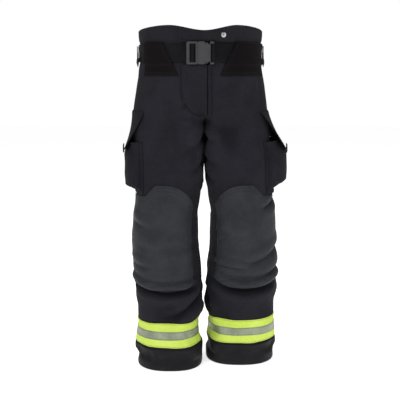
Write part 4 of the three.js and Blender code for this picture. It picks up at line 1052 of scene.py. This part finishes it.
FLY_SLIT = 5.5  # the front panels stop this far from the centre along the fly
PANEL_ROWS = np.concatenate([
    np.linspace(0, 715, 190)[:-1], np.linspace(715, 800, 40)[:-1], np.linspace(800, WAIST_SEAM, 60),
])
PANEL_COLUMNS = np.linspace(0, 1, 64)
LINER_ROWS = np.concatenate([np.linspace(55, 700, 120)[:-1], np.linspace(700, 968, 56)])
QUILTING, QUILT_PUFF = 52, 2.2  # the quilting's squares across their corners, and their height


def shell_panels(word, side):
    slit = [abs(way_at(side * FLY_SLIT, z)) * smooth(z, FLY_FOOT - 3, FLY_FOOT + 3) for z in PANEL_ROWS]
    start = np.maximum(slit, FIRST_WAY)[:, None]
    front = side * (start + (0.5 - start) * PANEL_COLUMNS)
    back = side * np.minimum(0.5 + 0.5 * PANEL_COLUMNS, LAST_WAY)
    for part, ways in (("front", front), ("back", back)):
        w, z = grid(ways, PANEL_ROWS)
        layer(f"shell_{part}_{word}", w, z, -SHELL, 0.0, "shell", raised=mixed(crest, *place(w, z)),
              replaces=f"{part}_panel_{word}", held="hung", rests=("waistband",))


def leg_seams(word, side):
    z = np.linspace(2, WAIST_SEAM - 1, 230)
    w = np.full_like(z, side * 0.5)
    ribbon(f"outseam_fell_{word}", side, w, z, 11, -0.4, 0.55, "shell", held="laid")
    for aside in (-3.5, 3.5):
        stitch("stitching_seams", *cloth(*beside(side, w, z, aside), 0.62))
    turn = np.array([0.012, 0.008, 0.003, FIRST_WAY, 0.997, 0.992, 0.988])
    w, z = grid(side * turn, np.linspace(2, INSEAM - 6, 190))
    crown = np.broadcast_to([0.2, 0.5, 0.6, 0.6, 0.6, 0.5, 0.2], w.shape)
    layer(f"inseam_fell_{word}", w, z, -0.4, crown, "shell", held="laid")


def liners(word, side):
    around = side * all_round(110)
    w, z = grid(around, LINER_ROWS)
    layer(f"moisture_barrier_layer_{word}", w, z, -5.4, -4.6, "barrier", held="hung",
          replaces=f"moisture_barrier_{word}", rests=(f"shell_front_{word}",))
    run = np.abs(w) * 560
    squares = (np.abs(np.sin((run + slope * z) * math.pi / QUILTING)) for slope in (1, -1))
    puff = QUILT_PUFF * np.sqrt(np.multiply(*squares))
    layer(f"thermal_liner_layer_{word}", w, z, -8.2 - puff, -5.9, "quilt", held="hung",
          replaces=f"thermal_liner_{word}", rests=(f"moisture_barrier_layer_{word}",))
    hem = grid(around, np.linspace(53, 63, 4))
    layer(f"liner_hem_binding_{word}", *hem, -10.6, -4.2, "tunnel", slot="shell")


def middle_seams():
    """The seat seam at the back and the short seam under the fly."""
    z = np.linspace(INSEAM + 2, WAIST_SEAM - 1, 80)
    w = 1 + share_of(6, 1, z)[:, None] * np.array([-1, -0.6, -0.2, 0.2, 0.6, 1])
    layer("seat_fell", w, np.broadcast_to(z[:, None], w.shape), -0.4, 0.6, "shell", held="laid")
    for aside in (-3.6, 3.6):
        stitch("stitching_seams", *cloth(1 + share_of(aside, 1, z), z, 0.66))
    ways = np.array([-0.012, -0.007, -0.002, 0.002, 0.007, 0.012])
    w, z = grid(ways, np.linspace(INSEAM + 2, FLY_FOOT - 2, 22))
    layer("fork_fell", w, z, -0.4, 0.6, "shell", held="laid")


for word, side in SIDES:
    shell_panels(word, side)
    leg_seams(word, side)
    liners(word, side)
middle_seams()

# ---------------------------------------------------------------- waistband

UNDER, OVER = way_at(61.3, WAIST_SEAM + 10), way_at(-69.5, WAIST_SEAM + 10)
BAND_LOW, FACING_LOW = WAIST_SEAM + 0.4, 968.4
OVERLAP = 5.5  # how far the left band stands over the right one


def rim(u):
    """Height of the waistband's top edge: it dips at the centre front and at the side."""
    u = np.abs(np.asarray(u, float))
    at_side = np.where(u < 0.5, 12 * smooth(u, 0.2, 0.5), 12 - 7 * smooth(u, 0.5, 0.9))
    return OUTSEAM - np.where(u < 0.2, 15 * (1 - smooth(u, 0, 0.2)), at_side)


def waistband(word, ways, lift):
    up = np.linspace(0, 1, 12)[:, None]
    top = rim(np.where(ways > 1, 2 - ways, ways))
    z = BAND_LOW + (top - WAIST_SEAM - 0.4) * up
    w = np.broadcast_to(ways, z.shape)
    arch = np.sin(up * math.pi)
    ripple = 0.35 * np.sin(w * 190 + 5 * np.sin(w * 31)) * arch
    outer = 1.2 + 0.9 * arch ** 0.5 + ripple + lift
    layer(f"waistband_{word}_piece", w, z, -3.5 + lift + 0 * z, outer, "shell", replaces=f"waistband_{word}",
          held="folded", rests=("shell_front_left", "shell_front_right"), edge=0.5)
    for t in (0.07, 0.17, 0.86):
        line = WAIST_SEAM + (top - WAIST_SEAM) * t
        stitch("stitching_waist", *cloth(ways, line, 1.25 + 0.9 * math.sin(t * math.pi) ** 0.5 + lift))


ways = np.linspace(-1, UNDER, 150)
waistband("right", ways, 0 * ways)
ways = np.linspace(OVER, 1, 160)
waistband("left", ways, OVERLAP * (1 - smooth(ways, UNDER + 0.02, UNDER + 0.09)))
edge = np.full(10, OVER + 0.012)
stitch("stitching_waist", *cloth(edge, np.linspace(WAIST_SEAM + 3, OUTSEAM - 18, 10), 7.4))

for word, side in SIDES:
    ways = side * all_round(90)
    z = FACING_LOW + (rim(ways) - 4 - FACING_LOW) * np.linspace(0, 1, 10)[:, None]
    layer(f"waistband_facing_layer_{word}", np.broadcast_to(ways, z.shape), z, -9.4, -8.0 + 0 * z,
          "tunnel", slot="shell", held="laid", replaces=f"waistband_facing_{word}",
          rests=(f"thermal_liner_layer_{word}",))

# ---------------------------------------------------------------- belt, tunnels, loops and straps

BELT_OUT, BELT_THICK = 2.2, 2.5
TUNNEL_THICK, TUNNEL_SLANT, TUNNEL_REAR = 2.0, 44, 160
LOOPS = (("right", -148), ("back", 0), ("left", 132))  # which, and where it stands in x
BAR_POINTS, BAR_ROWS = 28, 15


def ribs(z, low, pitch, height):
    """Ribs along webbing."""
    return height * np.abs(np.sin((z - low) * math.pi / pitch)) ** 0.5


def belt():
    left_end, right_end = way_at(21, BELT_Z), 2 + way_at(-34, BELT_Z)
    w, z = grid(np.linspace(left_end, right_end, 240), np.linspace(BELT_LOW, BELT_HIGH, 14))
    # Both ends rise toward the bars of the buckle.
    low = BELT_OUT + (5.0 * (1 - smooth(w, left_end, left_end + 0.05))
                      + 2.0 * smooth(w, right_end - 0.05, right_end))
    high = low + BELT_THICK - 0.25 + ribs(z, BELT_LOW, 4.2, 0.25)
    layer("belt_strap", w, z, low, high, "webbing", replaces="belt_webbing", held="stretched",
          rests=("waistband_left_piece", "waistband_right_piece"))


def belt_tunnel(word, side):
    low, high = box_mm(f"belt_tunnel_{word}")
    front_x = min(abs(low[0] - CENTRE[0]), abs(high[0] - CENTRE[0]))
    z = np.linspace(low[2], high[2], 34)
    up = (z - low[2]) / (high[2] - low[2])
    starts = np.array([abs(way_at(side * (front_x + TUNNEL_SLANT * u), h)) for u, h in zip(up, z)])
    rear = max(abs(way_at(side * TUNNEL_REAR, BELT_Z)), 0.36)
    w = side * (starts[:, None] + (rear - starts)[:, None] * np.linspace(0, 1, 36))
    z = np.broadcast_to(z[:, None], w.shape)
    over_belt = smooth(z, BELT_LOW - 15, BELT_LOW - 3) * (1 - smooth(z, BELT_HIGH + 1, BELT_HIGH + 6))
    wrinkle = 0.25 * np.sin(np.abs(w) * 75 + z / 9) * smooth(z, low[2] + 8, low[2] + 30)
    off = 0.5 + 6.6 * over_belt + wrinkle
    layer(f"belt_tunnel_piece_{word}", w, z, off, off + TUNNEL_THICK, "tunnel", held="laid",
          replaces=f"belt_tunnel_{word}", rests=(f"shell_front_{word}", "belt_strap"))
    seam = off + TUNNEL_THICK + 0.05
    for aside in (0.006, 0.018):
        stitch("stitching_tunnels", *cloth(side * (starts + aside), z[:, 0], seam[:, 0]))
    stitch_on("stitching_tunnels", w, z, seam, 1, 3, -2)


def take_up_strap(word, side):
    low, high = box_mm(f"side_strap_{word}")
    reach = share_of(31, side, BELT_Z)
    w, z = grid(side * np.linspace(0.5 - reach, 0.5 + reach, 30), np.linspace(low[2], high[2], 12))
    layer(f"take_up_strap_{word}", w, z, 4.8, 6.0 + ribs(z, low[2], 3.4, 0.2), "webbing", held="laid",
          replaces=f"side_strap_{word}", rests=("belt_strap",))
    # The strap's free end comes back through the buckle and hangs a little forward and down.
    along = np.linspace(0, 1, 22)
    w = np.stack([side * (0.5 - share_of(2 + 44 * along, side, BELT_Z))] * 8)
    z = BELT_Z - 4 - 26 * along ** 1.5 + np.linspace(-12, 12, 8)[:, None] * (1 - 0.12 * along)
    off = 7.4 + 3.2 * np.sin(along * math.pi * 0.8) + 0 * z
    layer(f"take_up_tail_{word}", w, z, off, off + 1.7, "webbing", held="hung",
          rests=(f"side_buckle_{word}",))


def belt_loop(word, x):
    low, high = box_mm(f"belt_loop_{word}")
    middle = way_behind(x, BELT_Z) if x else 1.0
    if x < 0:
        middle = 2 + middle
    half = share_of(15, 1, BELT_Z)
    w, z = grid(np.linspace(middle - half, middle + half, 9), np.linspace(low[2], high[2] - 1, 26))
    held_off = smooth(z, low[2] + 6, BELT_LOW - 1) * (1 - smooth(z, BELT_HIGH - 1, high[2] - 2))
    off = 0.5 + 5.2 * held_off
    layer(f"belt_loop_piece_{word}", w, z, off, off + 1.9, "tunnel", slot="shell", held="laid",
          replaces=f"belt_loop_{word}", rests=("belt_strap",))
    stitch_on("stitching_tunnels", w, z, off + 1.95, 1, 2, -2, -3)


def bar_wrap(word, body):
    """Webbing turned round a buckle bar."""
    low, high = box_mm(f"belt_wrap_{word}")
    middle, half = (low + high) / 2 - CENTRE, (high - low) / 2
    turn = np.linspace(0, 2 * math.pi, BAR_POINTS + 1)[:-1]
    corner = [np.sign(wave) * np.abs(wave) ** 0.55 for wave in (np.cos(turn), np.sin(turn))]

    def face(sunk):
        x, y = (middle[k] + (half[k] - sunk) * corner[k] for k in (0, 1))
        return np.stack(np.broadcast_arrays(x, y, np.linspace(low[2], high[2], BAR_ROWS)[:, None]), axis=2)

    slab(f"bar_wrap_{word}", face(0.1), face(1.9), "webbing", body=body, wrap=True,
         replaces=f"belt_wrap_{word}")


belt()
for word, side in SIDES:
    belt_tunnel(word, side)
    take_up_strap(word, side)
for word, x in LOOPS:
    belt_loop(word, x)
bar_wrap("clip", "buckle_clip")
bar_wrap("socket", "pants")

# ---------------------------------------------------------------- fly

FLAP_FOOT, FLAP_FREE, FLAP_BEND, FLAP_THICK = 782, 50, 852, 2.3
HINGE_X, FLY_MIDDLE = 6.5, 860


def at_fly(*xs):
    return [way_at(x, FLY_MIDDLE) for x in xs]


def fly_flap():
    z = np.linspace(FLAP_FOOT, FLY_TOP, 40)
    bend = (1 - np.clip((FLAP_BEND - z) / 70, 0, 1) ** 1.7) ** (1 / 1.7)
    free = np.array([way_at(x, h) for x, h in zip(-12 - FLAP_FREE * bend, z)])
    hinge = np.array([way_at(HINGE_X, h) for h in z])
    w = free[:, None] + (hinge - free)[:, None] * np.linspace(0, 1, 34)
    z = np.broadcast_to(z[:, None], w.shape)
    x = cloth(w, z)[0][..., 0]
    off = 1.8 + 1.4 * smooth(x, -62, -54) + 2.6 * smooth(x, -34, -16) + 1.2 * smooth(-x, 50, 62)
    off = off + 4.5 * (1 - smooth(z, 780, 797)) * smooth(x, -32, -12)
    off = off + 0.4 * np.sin(z / 11) * smooth(z, 800, 830)
    layer("fly_flap_piece", w, z, off, off + FLAP_THICK, "flap", slot="shell", body="fly_flap",
          replaces="fly_flap", held="laid", rests=("fly_binding",))
    for step in (1, 2):
        stitch_on("stitching_fly", w, z, off + FLAP_THICK + 0.05, np.s_[step:, step], np.s_[step, 1:-1])


def fly_closure():
    """The touch fastener under the flap, the binding of its hinge and the zip's tapes."""
    w, z = grid(at_fly(-58, -52, -46, -40, -34), np.linspace(800, 920, 40))
    layer("fly_hook_tape", w, z, 1.9, 3.0, "hook", slot="shell", body="fly_flap",
          replaces="fly_hook_strip", held="laid", rests=("fly_flap_piece",))
    layer("fly_loop_tape", w, z, 0.3, 1.6, "loop", slot="shell", replaces="fly_loop_strip", held="laid",
          rests=("shell_front_right",))
    w, z = grid(at_fly(9.5, 11.5, 14.5, 17.5, 19.5), np.linspace(783, FLY_TOP - 0.5, 50))
    binding = np.broadcast_to([5.4, 7.3, 7.6, 6.2, 1.2], w.shape)
    layer("fly_binding", w, z, 0.3, binding, "flap", slot="shell", replaces="fly_seam_binding")
    stitch("stitching_fly_seam", *cloth(w[1:-1, 2], z[1:-1, 2], 7.65))
    for word, xs in (("right", (-13.4, -9, -5, -0.5)), ("left", (0.5, 5, 9, 13.4))):
        w, z = grid(at_fly(*xs), np.linspace(792, FLY_TOP - 1, 60))
        layer(f"zip_tape_{word}", w, z, -2.9, -1.9, "webbing", held="laid",
              replaces=f"zipper_tape_{word}", rests=(f"shell_front_{word}",))


fly_flap()
fly_closure()

# ---------------------------------------------------------------- cargo pockets and their flaps

POCKET_WIDE, POCKET_FLANGE = 190.0, 10.0
BULGES = {-1: 31.0, 1: 44.0}
FOOT_RISES = {-1: 0.08, 1: 0.2}  # the share of its height in which the pocket fills out
FLAP_BOWS = {-1: 1.8, 1: 1.35}
POCKET_TALL = POCKET_HIGH - POCKET_LOW
POCKET_THICK, POCKET_FLAP_THICK = 1.8, 2.4
HINGE_Z = FLAP_HIGH
FLAP_DROP = 115.0
FLAP_BENDS_OVER = 18


def pocket_reach(side, length):
    return share_of(length, side, POCKET_LOW + POCKET_TALL / 2)


def pocket_face(side, ways, heights):
    """How far the pocket's inner face stands off the leg."""
    seam = pocket_reach(side, POCKET_WIDE / 2 - POCKET_FLANGE)
    aside = np.clip(np.abs(np.abs(ways) - 0.5) / seam, 0, 1)
    up = np.clip((heights - POCKET_LOW - POCKET_FLANGE) / POCKET_TALL, 0, 1)
    stand = (1 - aside ** 3) ** 0.6 * np.minimum(1, up / FOOT_RISES[side]) ** 0.6
    stand = stand * (1 - 0.45 * smooth(heights, POCKET_HIGH - 38, POCKET_HIGH))
    pleat = 2.6 * np.exp(-((stand - 0.5) / 0.1) ** 2)
    sag = 2.0 * np.sin(np.abs(ways) * 63 + heights / 19) * smooth(up, 0.15, 0.5) * (1 - aside ** 2) ** 2
    return PATCH_AIR + BULGES[side] * stand - pleat - np.maximum(sag, 0) * 0.9


def cargo_pocket(word, side):
    seam, wide = (pocket_reach(side, POCKET_WIDE / 2 - flange) for flange in (POCKET_FLANGE, 0))
    bend = seam * np.sin(np.linspace(-1, 1, 61) * math.pi / 2)
    between = (wide + seam) / 2
    ways = side * (0.5 + np.concatenate([[-wide, -between], bend, [between, wide]]))
    rise = (POCKET_TALL - POCKET_FLANGE) * np.linspace(0, 1, 52) ** 1.35
    flange = [POCKET_LOW, POCKET_LOW + POCKET_FLANGE / 2]
    w, z = grid(ways, np.concatenate([flange, POCKET_LOW + POCKET_FLANGE + rise]))
    off = pocket_face(side, w, z)
    layer(f"cargo_pocket_{word}", w, z, off, off + POCKET_THICK, "flap", slot="shell", held="laid",
          replaces=f"pocket_{word}", rests=(f"shell_front_{word}", f"shell_back_{word}"))
    stitch_on("stitching_pockets", w, z, off + POCKET_THICK + 0.1, np.s_[1:, 1], np.s_[1:, -2],
              np.s_[1, 1:-1], np.s_[-3, 3:-3], np.s_[-6, 3:-3])


def flap_face(side, out):
    """A face of the pocket flap, which hangs from a curved seam over the bulging pocket and
    wraps further round it at the front than at the back."""
    wide, lowest = pocket_reach(side, POCKET_WIDE / 2), np.array(HINGE_Z - FLAP_DROP)
    in_line = np.array(side * 0.5)
    pocket_x = abs(cloth(in_line, lowest, pocket_face(side, in_line, lowest) + POCKET_THICK)[0][0])
    middle_y = cloth(in_line, POCKET_HIGH)[0][1]
    aside = np.linspace(-1, 1, 47)
    t = np.linspace(0, 1, 40)[:, None]
    top, _ = cloth(side * (0.5 + wide * np.where(aside < 0, 1.32, 1.0) * aside),
                   HINGE_Z - 6 * (aside < 0) * aside ** 4, PATCH_AIR + 1.2 * aside ** 2 + out)
    bow = t ** (FLAP_BOWS[side] * (1 - 0.35 * aside ** 2))
    low_x = pocket_x + 3.6 + out - 2.0 * np.abs(aside) ** 6
    low_x = low_x - 0.55 * BULGES[side] * smooth(aside, 0.55, 1) ** 1.5
    x = np.abs(top[:, 0]) * (1 - bow) + low_x * bow + 0.8 * np.sin(aside * 7 + 3 * t) * np.sin(t * math.pi)
    y = top[:, 1] * (1 - t) + (middle_y + aside * np.where(aside < 0, 86, 78)) * t
    z = HINGE_Z - t * FLAP_DROP + 3.0 * np.abs(aside) ** 8 * t
    return np.stack([side * x, y, z], axis=2)


def pocket_flap(word, side):
    outer = flap_face(side, POCKET_FLAP_THICK)
    between = (f"pocket_flap_{word}", HINGE_Z, HINGE_Z - FLAP_BENDS_OVER)
    slab(f"cargo_flap_{word}", outer, flap_face(side, 0.0), "flap", slot="shell", between=between,
         replaces=f"pocket_flap_{word}", held="hung", rests=(f"shell_front_{word}",))
    over = outer + np.array([side * 0.12, 0, 0])
    hems = [np.concatenate([over[2:-1 - k, k], over[-1 - k, k:-1 - k], over[2:-1 - k, -1 - k][::-1]])
            for k in (1, 3)]
    for line in hems + [over[k, 2:-2] for k in (1, 3)]:
        stitch(f"stitching_flap_{word}", line, np.broadcast_to([side, 0, 0.1], line.shape))
    sew(f"stitching_flap_{word}", between=between)
    return outer


def pull_tab(word, side, flap):
    low, high = (corner - CENTRE for corner in box_mm(f"pull_tab_{word}"))
    y, z = np.meshgrid(np.linspace(low[1], high[1], 9), np.linspace(low[2], high[2], 14))
    out = np.abs(flap[-9:, 8:24, 0]).max() + 2.4
    bow = 0.8 * np.sin((z - low[2]) / (high[2] - low[2]) * math.pi)
    outer, inner = (np.stack([side * (x + bow), y, z], axis=2) for x in (out, out - 1.9))
    slab(f"flap_pull_tab_{word}", outer, inner, "webbing", body=f"pocket_flap_{word}",
         replaces=f"pull_tab_{word}", held="hung", rests=(f"cargo_flap_{word}",))


for word, side in SIDES:
    cargo_pocket(word, side)
    pull_tab(word, side, pocket_flap(word, side))

# ---------------------------------------------------------------- knees

KNEE_IN, KNEE_OUT, KNEE_DOME, KNEE_THICK = 0.13, 0.47, 9.0, 1.6
KNEE_UNDER = POCKET_LOW - 7


def knee_top(ways):
    """The patch's top edge: arched, and lower on the outside where the pocket is above it."""
    u = (np.abs(ways) - KNEE_IN) / (KNEE_OUT - KNEE_IN)
    arch = 62 * np.clip(1 - u / 0.42, 0, 1) ** 2.2
    low = smooth(np.abs(ways), 0.3, 0.36)
    return (KNEE_HIGH - arch) * (1 - low) + KNEE_UNDER * low


def knee_stand(ways, up):
    """How far the patch's inner face stands off the leg."""
    middle = (KNEE_IN + KNEE_OUT) / 2
    aside = np.abs(np.abs(ways) - middle) / (KNEE_OUT - middle)
    along = np.abs(2 * up - 1)
    dome = KNEE_DOME * np.maximum(0, 1 - aside ** 3) * np.maximum(0, 1 - along ** 3)
    darts = 1.2 * np.exp(-((up - 0.52) / 0.02) ** 2) * smooth(aside, 0.35, 0.8)
    return PATCH_AIR + dome - darts


def knee(word, side):
    ways = side * np.linspace(KNEE_IN, KNEE_OUT, 66)
    up = np.linspace(0, 1, 96)[:, None]
    low_corner = 14 * (1 - smooth(np.abs(ways), KNEE_IN, KNEE_IN + 0.05)) * (1 - up) ** 6
    z = KNEE_LOW + (knee_top(ways) - KNEE_LOW) * up + low_corner
    w = np.broadcast_to(ways, z.shape)
    off = knee_stand(w, up)
    layer(f"knee_cover_{word}", w, z, off, off + KNEE_THICK, "leather", held="laid",
          replaces=f"knee_patch_{word}", rests=(f"shell_front_{word}",), raised=mixed(crest, *place(w, z)))
    for k in (2, 5):
        stitch_on("stitching_knees", w, z, off + KNEE_THICK + 0.05, np.s_[k:-k, k], np.s_[k:-k, -1 - k],
                  np.s_[k, k:-k], np.s_[-1 - k, k:-k])
    inner = np.s_[5:-5, 5:-5]
    pad = layer(f"knee_padding_{word}", w[inner], z[inner], 1.6, off[inner] + 0.5, "foam",
                replaces=f"knee_pad_{word}")


for word, side in SIDES:
    knee(word, side)

# ---------------------------------------------------------------- trim, cuffs and all stitching


def trim(word, side):
    turn = side * all_round(181)[:-1]
    sewn_to = (f"shell_front_{word}", f"shell_back_{word}")
    w, z = grid(turn, np.linspace(TRIM_LOW, TRIM_HIGH, 22))
    layer(f"trim_{word}", w, z, 0.5, 1.8, "lime", held="laid", wrap=True, replaces=f"trim_band_{word}",
          rests=sewn_to)
    low, high = (corner[2] for corner in box_mm(f"trim_silver_{word}"))
    w, z = grid(turn, np.linspace(low, high, 10))
    layer(f"trim_silver_tape_{word}", w, z, 1.9, 2.5, "silver", held="laid", wrap=True,
          replaces=f"trim_silver_{word}", rests=(f"trim_{word}",))
    stitch_round(turn, 1.85, TRIM_LOW + 3, TRIM_HIGH - 3)
    stitch_round(turn, 2.55, low + 2, high - 2)
    w, z = grid(turn, np.linspace(0.3, CUFF_HIGH, 26))
    roll = 1.0 * np.exp(-((z - 5) / 5) ** 2)
    layer(f"cuff_facing_{word}", w, z, 0.5, 2.3 + roll, "cuff", slot="leather", held="folded", wrap=True,
          replaces=f"cuff_{word}", rests=sewn_to)
    stitch_round(turn, 2.4, 13, 17, CUFF_HIGH - 3)


for word, side in SIDES:
    trim(word, side)
for place_sewn in ("seams", "waist", "tunnels", "fly", "fly_seam", "pockets", "knees", "trim"):
    sew(f"stitching_{place_sewn}", "fly_flap" if place_sewn == "fly" else "pants")

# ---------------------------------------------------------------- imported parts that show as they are

HARD = {  # material, and how far the edges are rounded
    "buckle_socket": ("plastic", 0.9), "buckle_clip": ("plastic", 0.9),
    "buckle_prong_upper": ("plastic", 0.5), "buckle_prong_lower": ("plastic", 0.5),
    "zipper_chain": ("brass", 0.15), "zipper_stop": ("brass", 0.2), "zipper_slider": ("brass", 0.25),
    "zipper_pull": ("brass", 0.25), "waist_snap_cap": ("steel", 0.35),
    "side_buckle_right": ("steel", 0.5), "side_buckle_left": ("steel", 0.5),
}
for name, (kind, round_over) in HARD.items():
    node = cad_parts[name]
    node.data.materials.clear()
    node.data.materials.append(MATERIALS[kind])
    bevel = node.modifiers.new("Rounded edges", "BEVEL")
    bevel.width = round_over * MM
    bevel.segments = 3
    bevel.limit_method = "ANGLE"
    bevel.angle_limit = math.radians(30)
    bevel.harden_normals = False
    node.modifiers.new("Even shading", "WEIGHTED_NORMAL").keep_sharp = True

# ---------------------------------------------------------------- floor, lights and camera


def into_scene(thing):
    bpy.context.scene.collection.objects.link(thing)
    return thing


FLOOR_REACH = 9
floor_mesh = bpy.data.meshes.new("floor")
floor_corners = [((2 * a - 1) * FLOOR_REACH, (2 * b - 1) * FLOOR_REACH, 0) for a, b in CORNERS]
floor_mesh.from_pydata(floor_corners, [], [(0, 1, 2, 3)])
floor = into_scene(bpy.data.objects.new("floor", floor_mesh))
floor.location.z = -0.002
material, t, shader, _, solid = start_material("pale floor", False)
t.feed(shader.inputs["Base Color"], t.mix(t.noise(solid, 3.0), (0.93, 0.93, 0.93, 1), (0.95, 0.95, 0.95, 1)))
constants(shader, Roughness=0.9, Specular_IOR_Level=0.0, Emission_Color=WHITE, Emission_Strength=0.6)
floor_mesh.materials.append(material)

world = bpy.data.worlds.new("studio")
bpy.context.scene.world = world
world.use_nodes = True
sky = world.node_tree.nodes["Background"]
sky.inputs[0].default_value = WHITE
sky_tree = Tree(world.node_tree)
seen_directly = sky_tree.add("ShaderNodeLightPath").outputs["Is Camera Ray"]
sky_tree.feed(sky.inputs[1], sky_tree.spread(seen_directly, 0.0, 1.0, 0.4, 1.0))
bpy.context.scene.view_settings.view_transform = "Standard"


def soft_light(name, stands, aim, size, power):
    light = bpy.data.lights.new(name, "AREA")
    light.shape = "RECTANGLE"
    light.size, light.size_y = size
    light.energy = power
    thing = into_scene(bpy.data.objects.new(name, light))
    thing.location = stands
    thing.rotation_euler = (Vector(aim) - Vector(stands)).to_track_quat("-Z", "Y").to_euler()


soft_light("key", (-1.6, -2.6, 2.6), (0, 0, 0.55), (1.6, 1.6), 52)
soft_light("fill", (2.2, -2.0, 1.4), (0, 0, 0.5), (1.4, 1.8), 22)
soft_light("top", (0.0, 0.9, 2.9), (0, 0, 0.6), (2.2, 1.4), 34)

camera_data = bpy.data.cameras.new("camera")
camera_data.lens = 64.9
camera_data.sensor_width = 36
camera = into_scene(bpy.data.objects.new("camera", camera_data))
camera.location = (-0.015, -2.205, 0.920)
camera.rotation_euler = (math.radians(90 - 10.5), 0, 0)
bpy.context.scene.camera = camera
